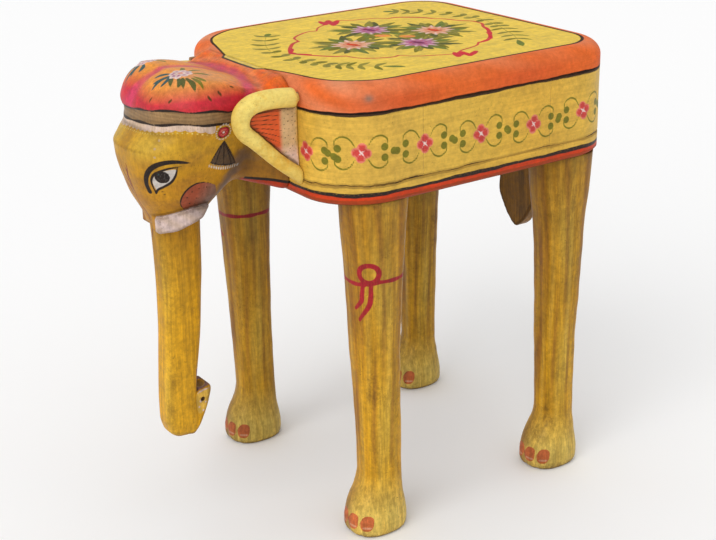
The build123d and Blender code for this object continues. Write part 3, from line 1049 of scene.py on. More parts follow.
@dataclass(frozen=True)
class SeatPlan:
    """The seat's rounded plan, walked round from the left end of its front."""

    box: Span
    corner_radius: float = 57.0
    rear_radius: float = 49.0
    front_trim: float = 6.0
    step: float = 1.35

    @property
    def front_y(self) -> float:
        """The level of the front face along Y."""
        return float(self.box.low[1])

    def straights(self) -> tuple[np.ndarray, np.ndarray]:
        """The places along X and along Y of the stations on the straight sides."""
        low, high = self.box.low[:2] + self.corner_radius, self.box.high[:2] - self.corner_radius
        counts = np.round((high - low) / self.step).astype(int) + 1
        return tuple(np.linspace(a, b, n) for a, b, n in zip(low, high, counts))

    def stations(self) -> tuple[Points, Points]:
        """Points on the outline and their outward directions, counter-clockwise from above."""
        xs, ys = self.straights()
        low, high = self.box.low[:2], self.box.high[:2]
        turns = int(self.corner_radius * math.pi / 2 / self.step)
        sides = [
            (xs, np.full_like(xs, low[1]), (0.0, -1.0)),
            (np.full_like(ys, high[0]), ys, (1.0, 0.0)),
            (xs[::-1], np.full_like(xs, high[1]), (0.0, 1.0)),
            (np.full_like(ys, low[0]), ys[::-1], (-1.0, 0.0)),
        ]
        places, ways = [], []
        for x, y, way in sides:
            places.append(np.stack([x, y], 1))
            ways.append(np.tile(way, (len(x), 1)))
            start = math.atan2(way[1], way[0])
            angle = start + np.linspace(0, math.pi / 2, turns + 1)[1:-1]
            out = np.stack([np.cos(angle), np.sin(angle)], 1)
            centre = places[-1][-1] - self.corner_radius * np.array(way)
            places.append(centre + self.corner_radius * out)
            ways.append(out)
        return np.concatenate(places), np.concatenate(ways)

    def along(self, points: Points) -> np.ndarray:
        """How far each point lies along the outline from the middle of the front.

        Args:
            points: Points near the outline.

        Returns:
            The length, the same on the left and the right side.
        """
        radius = self.corner_radius
        x, y = np.abs(points[:, 0]), points[:, 1]
        half = self.box.high[0] - radius
        low, high = self.box.low[1] + radius, self.box.high[1] - radius
        arc = radius * math.pi / 2
        front = np.where(x <= half, x, half + radius * np.arctan2(np.maximum(x - half, 0), low - y))
        side = half + arc + (y - low)
        turn = half + arc + (high - low) + radius * np.arctan2(y - high, np.maximum(x - half, 1e-9))
        rear = half + 2 * arc + (high - low) + (half - x)
        back = np.where(x > half, turn, rear)
        return np.where(y < low, front, np.where(y <= high, side, back))

    def settled(self, points: Points) -> Points:
        """Gives the corners their own shapes: the rear ones fuller, the right front one rounder.

        Args:
            points: Points of the box with four equal corners.

        Returns:
            The points where the carver left them.
        """
        x, y = points.T[:2]
        radius, tight = self.corner_radius, self.rear_radius
        off = np.stack([np.abs(x) - self.box.high[0], y - self.box.high[1]], 1) + radius
        reach = np.maximum(np.hypot(*off.T), 1e-9)
        way = off / reach[:, None]
        shift = (radius - tight) * way.sum(1)
        on_arc = shift + np.sqrt(np.maximum(shift**2 - 2 * (radius - tight) ** 2 + tight**2, 0))
        edge = np.minimum(radius / np.maximum(way.max(1), 0.1), 2 * radius)
        straight = way.min(1) * edge < radius - tight
        full = np.where(straight, edge, on_arc)
        grow = np.where((off > 0).all(1), (full / radius - 1) * np.minimum(reach / radius, 1.2) ** 2, 0)
        moved = points.copy()
        moved[:, 0] += np.sign(x) * grow * off[:, 0]
        moved[:, 1] += grow * off[:, 1]
        trim = part_of(-60.0 - x, 71.0) * part_of(-y, 89.0)
        moved[:, :2] += self.front_trim * trim[:, None] * np.array([0.556, 0.831])
        return moved

    @property
    def half_length(self) -> float:
        """The length of the outline from the middle of the front to the middle of the rear."""
        width, length = (self.box.high - self.box.low)[:2] - 2 * self.corner_radius
        return float(width + length + math.pi * self.corner_radius)


@dataclass(frozen=True)
class PanelPattern:
    """The lemon panel on top, with its cartouche, flowers and garlands."""

    plan: SeatPlan
    inset: float = 16.4
    rear_radius: float = 38.0
    tongue_half_width: float = 29.0
    tongue_reach: float = 6.0
    middle_y: float = 56.0
    front_garland: tuple[tuple[float, float], ...] = (
        (-84, -32), (-74, -40), (-55, -51.5), (-35, -61.5), (-19, -66.8), (2, -69), (22, -67),
        (35, -62.5), (50, -58.5), (62, -53), (70, -46.5), (77, -38.5), (88, -27), (101, -13),
    )
    rear_garland: tuple[tuple[float, float], ...] = (
        (-101, 123), (-92.5, 132), (-85, 143), (-72, 151.6), (-57, 161), (-38, 167.2), (-21, 170.8),
        (-3, 170), (18, 166), (30, 162.6), (47, 155.5), (64, 149.5), (79, 141.4), (100, 129),
    )
    line_width: float = 2.9

    def outline(self) -> Points:
        """The panel's outline: an ogee in front, round corners behind."""
        front_y = self.plan.front_y
        side, rear = self.plan.box.high[:2] - self.inset
        half = self.tongue_half_width
        ogee = [(half, -5.5), (half + 7, 0.0), (half + 17, 3.2), (half + 29, 7.2), (half + 47, 11.5)]
        ogee += [(side - 38, 15.7), (side - 22.5, 23.5), (side - 10.5, 37.0), (side - 2, 54.0), (side, 71.0)]
        ogee = [(x, front_y + y) for x, y in ogee]
        curve = smooth_path(ogee, 6)
        angle = np.linspace(0, math.pi / 2, 18)
        radius = self.rear_radius
        corner = np.stack([side - radius + radius * np.cos(angle), rear - radius + radius * np.sin(angle)], 1)
        right = np.vstack([[(0.0, front_y - self.tongue_reach)], curve, corner])
        left = right[::-1][:-1] * (-1, 1)
        return np.vstack([right, left])

    def cartouche(self) -> list[Points]:
        """The lobes of the red line round the flowers, on one side, from the front to the rear."""
        lobes = [
            [(0, -114), (12, -107), (22, -100), (34, -90), (40, -80)],
            [(40, -80), (54, -76), (64, -64), (70, -50), (68, -42)],
            [(68, -42), (80, -32), (87, -20), (95, 0), (88, 14), (84, 28), (80, 38), (72, 46)],
            [(72, 46), (71, 56), (62, 68), (52, 76), (44, 80)],
            [(44, 80), (34, 88), (20, 94), (8, 102), (0, 103)],
        ]
        return [smooth_path(lobe, 5) + (0, self.middle_y) for lobe in lobes]

    def paint_edge(self, painted: PaintedShell, up: np.ndarray) -> None:
        """Paints the panel and its outline on the part of a piece that looks up."""
        chart = painted.shell.points[:, :2]
        outline = self.outline()
        closed = np.vstack([outline, outline[:1]])
        painted.fill.patch(chart, outline, Pigment.LEMON, up)
        painted.line.stroke(chart, closed, self.line_width, Pigment.DARK_UMBER, (0.8, 0.8), up)

    def paint_flowers(self, painted: PaintedShell, up: np.ndarray) -> None:
        """Paints everything inside the panel."""
        self.paint_cartouche(painted, up)
        self.paint_bouquet(painted, up)
        self.paint_garland(painted, up, self.front_garland)
        self.paint_garland(painted, up, self.rear_garland)

    def paint_cartouche(self, painted: PaintedShell, up: np.ndarray) -> None:
        """Paints the lobed line, thick in some bends, and a ribbon at each side."""
        chart = painted.shell.points[:, :2]
        mark = painted.mark
        widths = (3.8, 2.7, 2.5, 4.2, 3.2)
        for side in (-1, 1):
            for lobe, width in zip(self.cartouche(), widths):
                mark.stroke(chart, lobe * (side, 1), width, Pigment.FLOWER_RED, (0.7, 0.9), up)
        ribbons = [
            [(91, 59), (106, 52), (94, 66), (110, 62), (99.5, 77)],
            [(-104, 41), (-87, 37), (-102, 50), (-79, 41.5), (-96, 57)],
            [(-16, -46), (-4, -55), (4, -55), (15, -46)],
            [(24, 150), (40, 141), (47, 137), (53, 131), (66, 122), (73, 103)],
        ]
        for corners, width in zip(ribbons, (6.6, 6.6, 5.0, 4.2)):
            for start, end in zip(corners[:-1], corners[1:]):
                mark.stroke(chart, smooth_path([start, end], 3), width, Pigment.CRIMSON, (0.5, 0.7), up)

    def paint_bouquet(self, painted: PaintedShell, up: np.ndarray) -> None:
        """Paints four blossoms round two small ones, on a bed of slender leaves."""
        mark, line = painted.mark, painted.line
        chart = painted.shell.points[:, :2]
        blossoms = [
            ((-38.5, 56.5), Pigment.MAUVE, Pigment.PLUM),
            ((36.0, 60.0), Pigment.MAUVE, Pigment.PLUM),
            ((1.0, 104.0), Pigment.PEACH, Pigment.VERMILION),
            ((5.0, 7.0), Pigment.PEACH, Pigment.VERMILION),
        ]
        greens = (Pigment.MOSS, Pigment.LEAF, Pigment.OLIVE, Pigment.MOSS, Pigment.DARK_LEAF)
        for number, (place, petal_paint, heart_paint) in enumerate(blossoms):
            centre = np.array(place)
            for leaf in range(24):
                way = turned(2 * math.pi * (leaf + 0.3 * math.sin(3.0 * leaf + number)) / 24)
                reach = 37.0 + 5.5 * math.sin(2.1 * leaf + number)
                bow = np.array([-way[1], way[0]]) * 2.6 * math.sin(1.3 * leaf)
                path = smooth_path([centre + 13 * way, centre + 22 * way + bow, centre + reach * way], 5)
                mark.stroke(chart, path, 8.6, greens[(leaf + number) % 5], (0.6, 0.15), up)
                if leaf % 2:
                    line.stroke(chart, path[2:-2], 1.4, Pigment.DARK_LEAF, (0.4, 0.1), up)
            petals = 12
            for petal in range(petals):
                way = turned(2 * math.pi * (petal + 0.5 * (number % 2)) / petals)
                reach = 16.5 + 2.5 * math.sin(2.3 * petal + number)
                petal_path = smooth_path([centre + 4 * way, centre + reach * way], 4)
                line.stroke(chart, petal_path, 7.4, petal_paint, (0.6, 0.5), up)
                rim = smooth_path([centre + 11 * way, centre + (reach + 2.5) * way], 3)
                line.stroke(chart, rim, 2.0, Pigment.PALE_PINK, (0.3, 0.9), up)
            heart = smooth_path([centre - (5, 2), centre, centre + (5, 1)], 3)
            line.stroke(chart, heart, 7.5, heart_paint, (0.6, 0.6), up)
            for grain in range(7):
                spot = centre + 7.6 * turned(math.pi * grain / 3.5 + 0.4)
                line.dot(chart, spot, 1.2, Pigment.KNOT_RED, up)
        for side in (-1, 1):
            bud = np.array([-1.0 + side * 4.5, self.middle_y + 3.5 + side * 4.5])
            way = turned(math.pi / 4 + (0 if side > 0 else math.pi))
            petal = smooth_path([bud, bud + 9 * way], 4)
            line.stroke(chart, petal, 11.0, Pigment.MARIGOLD, (0.35, 0.8), up)
            core = smooth_path([bud + 3 * way, bud + 9 * way], 4)
            line.stroke(chart, core, 3.6, Pigment.ROSE, (0.3, 0.7), up)
            for bend in (-0.6, 0.6):
                tip = turned(math.pi / 4 + (0 if side > 0 else math.pi) + bend)
                path = smooth_path([bud + 7 * tip, bud + 14 * tip, bud + 24 * tip], 5)
                mark.stroke(chart, path, 5.0, Pigment.OLIVE, (0.3, 0.1), up)

    def paint_garland(self, painted: PaintedShell, up: np.ndarray, corners: Corners) -> None:
        """Paints a garland with slender leaves towards its ends and round ones in the middle.

        Args:
            painted: The seat board.
            up: Which vertices look up.
            corners: Points that the garland's stem passes through.
        """
        chart = painted.shell.points[:, :2]
        mark, line = painted.mark, painted.line
        stem = smooth_path(corners, 8)
        last = len(stem) - 1
        line.stroke(chart, stem, 1.3, Pigment.OLIVE, (0.7, 0.7), up)
        for number, i in enumerate(range(6, last - 3, 7)):
            outward = 1 if i > last / 2 else -1
            way = outward * (stem[i + 2] - stem[i - 2])
            way = way / np.linalg.norm(way)
            across = np.array([-way[1], way[0]])
            slender = abs(2 * i / last - 1) > 0.42
            for flank in (-1, 1):
                paint = Pigment.MOSS if (number + flank) % 3 else Pigment.OLIVE
                if slender:
                    tip = stem[i] + (7.5 + 0.8 * math.sin(number)) * way + flank * 14.0 * across
                    path = smooth_path([stem[i], stem[i] + 2.0 * way + flank * 6.0 * across, tip], 5)
                    mark.stroke(chart, path, 5.6, paint, (0.5, 0.1), up)
                    continue
                foot, tip = stem[i] + flank * 2.0 * across, stem[i] + 4.0 * way + flank * 8.0 * across
                mark.stroke(chart, smooth_path([foot, tip], 4), 7.6, paint, (0.6, 0.5), up)
                line.stroke(chart, smooth_path([foot, tip], 4)[1:4], 1.2, Pigment.DARK_LEAF, (0.4, 0.2), up)
        for start, end in ((4, 0), (last - 4, last)):
            tip = stem[end] + 0.9 * (stem[end] - stem[start])
            path = smooth_path([stem[start], stem[end], tip], 5)
            mark.stroke(chart, path, 7.0, Pigment.LEAF, (0.4, 0.08), up)


@dataclass(frozen=True)
class FriezePattern:
    """The band of red flowers and olive scrolls round the box."""

    plan: SeatPlan
    level: float
    first_flower: float = 98.0
    flowers: int = 9
    petal: float = 4.3
    line_width: float = 1.2
    drift: tuple[float, ...] = (0.0, -5.6, -1.9, 1.2, 3.2, 4.4, 2.0, 0.0, 0.0)
    rise: tuple[float, ...] = (-1.2, 1.4, 0.6, -1.6, -3.6, -0.8, 0.8, 1.6, 0.0)

    def paint(self, painted: PaintedShell, outer: np.ndarray) -> None:
        """Paints the band on a piece of the box's side.

        Args:
            painted: The piece.
            outer: Which of its vertices lie on the outside.
        """
        points = painted.shell.points
        chart = np.stack([self.plan.along(points), points[:, 2]], 1)
        mark, line = painted.mark, painted.line
        spacing = (self.plan.half_length - self.first_flower) / (self.flowers - 1)
        for number in range(self.flowers):
            place = self.first_flower + number * spacing + self.drift[number]
            centre = np.array([place, self.level + self.rise[number]])
            if not ((np.abs(chart[:, 0] - place) < spacing) & outer).any():
                continue
            for side in (-1, 1):
                if number == 0 and side < 0:
                    continue
                for end in (-1, 1):
                    tendril = [(5.5, 5.5), (10, 12), (16.5, 14.2), (22.5, 11), (23.5, 6)]
                    path = smooth_path([centre + (side * u, end * v) for u, v in tendril], 5)
                    line.stroke(chart, path, self.line_width * 1.35, Pigment.OLIVE, (0.6, 0.7), outer)
                    mark.dot(chart, centre + (side * 20.5, end * 4.6 - 0.8), 3.4, Pigment.OLIVE, outer)
                mark.dot(chart, centre + (side * spacing / 2, -0.8), 3.3, Pigment.OLIVE, outer)
            turn = 0.25 * math.sin(2.7 * number + 1.0)
            for reach, size, paint in (
                (4.6, self.petal, Pigment.ROSE),
                (4.3, self.petal - 1.1, Pigment.FLOWER_RED),
            ):
                for petal in range(4):
                    way = turned(math.pi / 2 * petal + turn)
                    mark.dot(chart, centre + reach * way, size, paint, outer)
            for half in (0.78, 2.35):
                way = turned(half + turn)
                path = smooth_path([centre - 4.2 * way, centre + 4.2 * way], 3)
                line.stroke(chart, path, 1.5, Pigment.PALE_PINK, (0.3, 0.3), outer)


@dataclass
class BoxSeat:
    """The box: seat board, rails and corner posts, and base board."""

    workshop: Workshop
    edge_radius: float = 14.0
    neck_edge: float = 0.9
    wall: float = 24.0
    base_bevel: float = 3.0
    black_line: float = 3.2
    black_line_rise: float = 9.3
    wood_waviness: float = 0.35
    crack_width: float = 0.8
    crack_reach: float = 0.9
    frieze_rise: float = 27.8
    row_step: float = 1.25
    fine_band: float = 3.0
    fine_step: float = 0.5
    plan: SeatPlan = field(init=False)
    side: Span = field(init=False)
    base: Span = field(init=False)
    panel: PanelPattern = field(init=False)

    top_finish: PaintedFinish = PaintedFinish(
        "seat_paint", GrainWay.LENGTHWISE, streak_depth=0.15, edge_wear=0.5, patch_wear=0.22, rub_share=0.30,
        fleck_amount=0.4, mottle=0.16, line_dryness=0.06, roughness=0.5, gloss=0.01, shine=0.03,
    )
    side_finish: PaintedFinish = PaintedFinish(
        "side_paint", GrainWay.LENGTHWISE, streak_depth=0.20, patch_wear=0.30, rub_share=0.28, mottle=0.18,
        fleck_amount=0.6, line_dryness=0.08,
    )
    base_finish: PaintedFinish = PaintedFinish(
        "base_paint", GrainWay.LENGTHWISE, streak_depth=0.26, edge_wear=1.3, patch_wear=0.25, rub_share=0.45,
        mottle=0.16,
    )

    def __post_init__(self) -> None:
        """Reads the box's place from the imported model."""
        self.plan = SeatPlan(Span.of("seat_board"))
        self.side = Span.of("left_rail")
        self.base = Span.of("base_board")
        self.panel = PanelPattern(self.plan)

    @property
    def crack_level(self) -> float:
        """The level of the open glue line."""
        return float(self.side.low[2])

    def edge_at(self, x: np.ndarray) -> np.ndarray:
        """The radius of the seat board's front edge: it dies out under the neck."""
        share = part_of(np.abs(x) - 62.0, 22.0)
        return self.neck_edge + (self.edge_radius - self.neck_edge) * share**2 * (3 - 2 * share)

    def crack_height(self, along: np.ndarray) -> np.ndarray:
        """The open glue line's own level round the box."""
        return self.crack_level + waver(along, 1.7, 0.9) + waver(5 * along, 0.4, 0.35)

    def crack_depth(self, along: np.ndarray) -> np.ndarray:
        """How open the glue line is round the box, from 0 to 1."""
        opening = 0.55 + 0.45 * np.sin(along / 47.0 - 2.2) + 0.3 * np.sin(along / 13.0)
        return np.clip(opening, 0.08, 1.0)

    def wall_push(self, along: np.ndarray, level: np.ndarray) -> np.ndarray:
        """How far the planed wall lies inside its true plane, most at the open glue line."""
        wave = waver(along, 0.3, 1.0) + 0.5 * np.sin(level / 9.0 + along / 31.0)
        gap = level - self.crack_height(along)
        crack = self.crack_reach * self.crack_depth(along) * hump(gap, self.crack_width)
        return self.wood_waviness * (0.5 + 0.5 * np.tanh(wave)) + crack

    @staticmethod
    def rings(places: Points, ways: Points, depth: np.ndarray, level: np.ndarray) -> Points:
        """Rows of points inside the outline.

        Args:
            places: Points on the outline.
            ways: Their outward directions.
            depth: How far inside each point of each row lies.
            level: The rows' levels, or a level for each point.

        Returns:
            The rows, with three coordinates a point.
        """
        plan = places - depth[:, :, None] * ways
        return np.dstack([plan, np.broadcast_to(level, depth.shape)])

    def build(self) -> None:
        """Makes every piece of the box."""
        self.build_top()
        self.build_sides()
        self.build_base()

    def build_top(self) -> None:
        """Makes the seat board, with its rounded edge and painted panel."""
        low, high = self.plan.box.low[2], self.plan.box.high[2]
        places, ways = self.plan.stations()
        corner = self.plan.corner_radius
        at_front = ways[:, 1] < -0.999
        radius = np.where(at_front, self.edge_at(places[:, 0]), self.edge_radius)
        flat = np.linspace(corner, self.edge_radius, int((corner - self.edge_radius) / self.plan.step))
        turn = np.linspace(0, math.pi / 2, 15)[1:, None]
        drop = np.arange(high - self.edge_radius, low, -self.row_step)[1:]
        around = np.ones(len(places))
        fade = ((corner - flat) / (corner - self.edge_radius))[:, None]
        near_flat = flat[:, None] * around + (radius - self.edge_radius) * fade
        under = np.maximum(self.edge_radius - radius, 0) * np.linspace(1, 0, len(drop) + 1)[1:, None]
        inset = np.vstack([near_flat, radius * (1 - np.sin(turn)), 0 * under, 0 * around, corner * around])
        rounding = high - radius * (1 - np.cos(turn))
        foot = low + 0 * around
        level = np.vstack([high + 0 * near_flat, rounding, drop[:, None] + under, foot, foot])
        shell = ring_shell(self.rings(places, ways, inset, level)[::-1], close_ends=False)
        size = len(places)
        xs, ys = self.plan.straights()
        grid = np.stack([*np.meshgrid(xs, ys, indexing="ij"), np.full((len(xs), len(ys)), high)], -1)
        start = len(shell.points)
        number = start + np.arange(len(xs) * len(ys)).reshape(len(xs), len(ys))
        inner = np.stack([number[:-1, :-1], number[1:, :-1], number[1:, 1:], number[:-1, 1:]], -1)
        shell.points = np.concatenate([shell.points, grid.reshape(-1, 3)])
        shell.quads = np.concatenate([shell.quads, inner.reshape(-1, 4)])
        shell.others.append(list(range(size))[::-1])
        shell = welded(shell)
        along = self.plan.along(shell.points)
        x, y, z = shell.points.T
        dip = 0.35 * (0.5 + 0.5 * np.sin(x / 37.0 + 0.8) * np.sin(y / 53.0 + 0.3))
        shell.points[:, 2] -= np.where(z > low + 1, dip, 0)
        painted = PaintedShell(shell, Pigment.ORANGE)
        edge_share = part_of(high - z, self.edge_radius)
        painted.tone(0.55 * edge_share * (0.6 + 0.4 * np.sin(along / 23.0)), Pigment.VERMILION)
        patches = 0.5 + 0.5 * np.sin(along / 31.0 + 1.0) * np.cos(z / 4.0 + along / 13.0)
        near_front = part_of(-30.0 - y, 60.0)
        painted.tone(0.14 + (0.26 * (1 - edge_share) + 0.35 * near_front) * patches, Pigment.PEACH)
        knot = np.exp(-(((along - 158.0) / 4.0) ** 2) - (((z - 439.0) / 3.0) ** 2)) * (x > 0)
        painted.tone(0.9 * knot, Pigment.WORN)
        up = shell.normals()[:, 2] > 0.5
        beyond = outline_distance(shell.points[:, :2], self.panel.outline())
        round_edge = np.stack([z + beyond, along, 0 * z], 1)
        painted.grain = np.where((beyond > 0)[:, None], round_edge, shell.points)
        self.panel.paint_edge(painted, up)
        self.panel.paint_flowers(painted, up)
        self.paint_black_line(painted, float(low), z < low + 6)
        shell.points = self.plan.settled(shell.points)
        self.workshop.piece("seat_board_painted", painted, self.top_finish, ["seat_board"], "painted_seat")

    def paint_black_line(self, painted: PaintedShell, level: float, allowed: np.ndarray) -> None:
        """Paints the black line that runs round the box at a level, a little uneven."""
        points = painted.shell.points
        along = self.plan.along(points)
        middle = level + waver(along, 2.2, 0.5)
        half = self.black_line / 2 * (1 + 0.22 * np.sin(along / 19.0))
        painted.line.cover(np.abs(points[:, 2] - middle) - half, Pigment.BLACK, allowed)

    def build_sides(self) -> None:
        """Makes the four rails and four corner posts as stretches of one wall."""
        places, ways = self.plan.stations()
        size = len(places)
        low, high = self.side.low[2], self.side.high[2]
        fine = np.arange(low, low + self.fine_band, self.fine_step)
        rows = np.concatenate([fine, np.arange(low + self.fine_band, high, self.row_step), [high]])
        nodes = ["front_rail", "front_left_post", "left_rail", "rear_left_post"]
        nodes += ["rear_rail", "rear_right_post", "right_rail", "front_right_post"]
        post = Span.of("front_left_post")
        rear_post = Span.of("rear_left_post")

        def owner(place: np.ndarray) -> str:
            """The node that a point of the outline belongs to."""
            x, y = place
            if abs(x) <= post.low[0]:
                return "front_rail" if y < self.plan.box.middle[1] else "rear_rail"
            hand = "left" if x > 0 else "right"
            if y <= post.high[1]:
                return f"front_{hand}_post"
            return f"rear_{hand}_post" if y >= rear_post.low[1] else f"{hand}_rail"

        owners = [owner(place) for place in places]
        start = owners.index("front_rail")
        order = (np.arange(size) + start) % size
        for node in nodes:
            mine = [i for i in order if owners[i] == node]
            mine.append((mine[-1] + 1) % size)
            shell = self.wall_stretch(places[mine], ways[mine], rows)
            self.finish_wall(node, shell)

    def wall_stretch(self, places: Points, ways: Points, rows: np.ndarray) -> Shell:
        """A stretch of wall as a closed shell.

        Args:
            places: Points on the outline.
            ways: Their outward directions.
            rows: The levels of the outer face's rows.

        Returns:
            The stretch, with its outer face finely divided.
        """
        depth = np.concatenate([np.zeros(len(rows)), np.full(4, self.wall)])
        level = np.concatenate([rows, np.linspace(rows[-1], rows[0], 4)])
        along = self.plan.along(places)
        depth = np.tile(depth, (len(places), 1))
        depth[:, : len(rows)] += self.wall_push(along[:, None], rows)
        return ring_shell(self.rings(places[:, None], ways[:, None], depth, level)[::-1])

    def finish_wall(self, node: str, shell: Shell) -> None:
        """Paints a stretch of wall and makes its piece."""
        painted = PaintedShell(shell, Pigment.OCHRE)
        points = shell.points
        along = self.plan.along(points)
        normal = shell.normals()
        plan, radius = points[:, :2], self.plan.corner_radius
        flat = plan - np.clip(plan, self.plan.box.low[:2] + radius, self.plan.box.high[:2] - radius)
        beyond = np.linalg.norm(flat, axis=1)
        outer = (beyond > radius - 3) & ((normal[:, :2] * flat).sum(1) > 0)
        painted.grain = np.stack([points[:, 2], along, beyond], 1)
        painted.tone(0.30 * (0.5 + 0.5 * np.sin(along / 43.0 + 0.5)), Pigment.MUSTARD)
        painted.tone(0.22 * (0.5 + 0.5 * np.sin(along / 29.0 - 1.0)), Pigment.LEMON)
        FriezePattern(self.plan, float(self.side.low[2]) + self.frieze_rise).paint(painted, outer)
        top = float(self.side.high[2])
        self.paint_black_line(painted, top, outer & (points[:, 2] > top - 6))
        self.paint_crack(painted, outer)
        shell.points = self.plan.settled(shell.points)
        self.workshop.piece(f"{node}_painted", painted, self.side_finish, [node], "painted_sides")

    def paint_crack(self, painted: PaintedShell, outer: np.ndarray) -> None:
        """Darkens the open glue line where it gapes."""
        points = painted.shell.points
        along = self.plan.along(points)
        width = 0.75 * self.crack_depth(along)
        distance = np.abs(points[:, 2] - self.crack_height(along)) - width
        near = outer & (np.abs(points[:, 2] - self.crack_level) < FAR)
        painted.line.cover(distance, Pigment.DARK_UMBER, near)

    def build_base(self) -> None:
        """Makes the base board, with its bevelled orange edge."""
        low, high = self.base.low[2], self.base.high[2]
        places, ways = self.plan.stations()
        fine = np.arange(high - self.fine_band, high, self.fine_step)
        rows = np.concatenate([np.arange(low + self.base_bevel, fine[0], 1.0), fine, [high]])
        bevel = np.linspace(0, self.base_bevel, 4)[:-1]
        radius, slant = self.plan.corner_radius, self.base_bevel - bevel
        inset = np.concatenate([[radius, 12.0], slant, np.zeros(len(rows)), [12.0, radius]])
        level = np.concatenate([[low, low], low + bevel, rows, [high, high]])
        depth = np.tile(inset[:, None], (1, len(places)))
        first = 2 + len(bevel)
        depth[first : first + len(rows)] += self.wall_push(self.plan.along(places), rows[:, None])
        shell = welded(ring_shell(self.rings(places, ways, depth, level[:, None])))
        painted = PaintedShell(shell, Pigment.OCHRE)
        points = shell.points
        outer = np.abs(shell.normals()[:, 2]) < 0.9
        painted.tone(0.25 * (0.5 + 0.5 * np.sin(self.plan.along(points) / 43.0 + 0.5)), Pigment.MUSTARD)
        below = points[:, 2] - (low + self.black_line_rise)
        painted.fill.cover(below, Pigment.VERMILION)
        painted.grain = np.stack([points[:, 2], self.plan.along(points), 0 * points[:, 2]], 1)
        underside = shell.normals()[:, 2] < -0.9
        painted.fill.tint[underside] = Pigment.UMBER.linear
        self.paint_black_line(painted, float(low) + self.black_line_rise, outer)
        self.paint_crack(painted, outer)
        shell.points = self.plan.settled(shell.points)
        self.workshop.piece("base_board_painted", painted, self.base_finish, ["base_board"], "painted_edge")


def welded(shell: Shell) -> Shell:
    """Joins vertices that lie in one place and drops the faces that this closes up."""
    keys = np.round(shell.points, 3)
    _, first, number = np.unique(keys, axis=0, return_index=True, return_inverse=True)
    number = number.reshape(-1)
    quads = number[shell.quads]
    others = [list(dict.fromkeys(int(number[i]) for i in face)) for face in shell.others]
    same = quads == np.roll(quads, -1, axis=1)
    lost = same.sum(1)
    whole = quads[lost == 0]
    for quad, double in zip(quads[lost == 1], same[lost == 1]):
        others.append([int(v) for v, twin in zip(quad, double) if not twin])
    return Shell(shell.points[first], whole, [face for face in others if len(face) > 2])


# ---- legs -----------------------------------------------------------------------------


@dataclass(frozen=True)
class Section:
    """One level of a carved column: reach towards the front, width, depth and corner radius."""

    level: float
    reach: float
    width: float
    depth: float
    radius: float


def column(
    middle: tuple[float, float], sections: Sequence[Section], step: float, around: int, squareness: float
) -> Shell:
    """A carved column through level sections, from the bottom up.

    Args:
        middle: The column's axis in plan.
        sections: The sections, from the lowest to the highest.
        step: How far apart the rows lie.
        around: How many vertices go round.
        squareness: The power of the sections' ovals.

    Returns:
        The column's skin with both ends closed.
    """
    levels = [s.level for s in sections]
    count = int((levels[-1] - levels[0]) / step)
    rows = np.linspace(levels[0], levels[-1], count)
    reach = Run(tuple((s.level, s.reach) for s in sections)).at(rows)
    width = Run(tuple((s.level, s.width) for s in sections)).at(rows)
    depth = Run(tuple((s.level, s.depth) for s in sections)).at(rows)
    power = Run(tuple((s.level, squareness * (0.6 + 0.4 * 18.0 / s.radius)) for s in sections)).at(rows)
    angle = np.linspace(0, 2 * math.pi, around, endpoint=False)
    cos, sin = np.cos(angle)[None], np.sin(angle)[None]
    size = (np.abs(cos) ** power[:, None] + np.abs(sin) ** power[:, None]) ** (1 / power[:, None])
    rings = np.zeros((count, around, 3))
    rings[:, :, 0] = middle[0] + width[:, None] / 2 * cos / size
    rings[:, :, 1] = middle[1] - reach[:, None] + depth[:, None] / 2 * sin / size
    rings[:, :, 2] = rows[:, None]
    return ring_shell(rings)


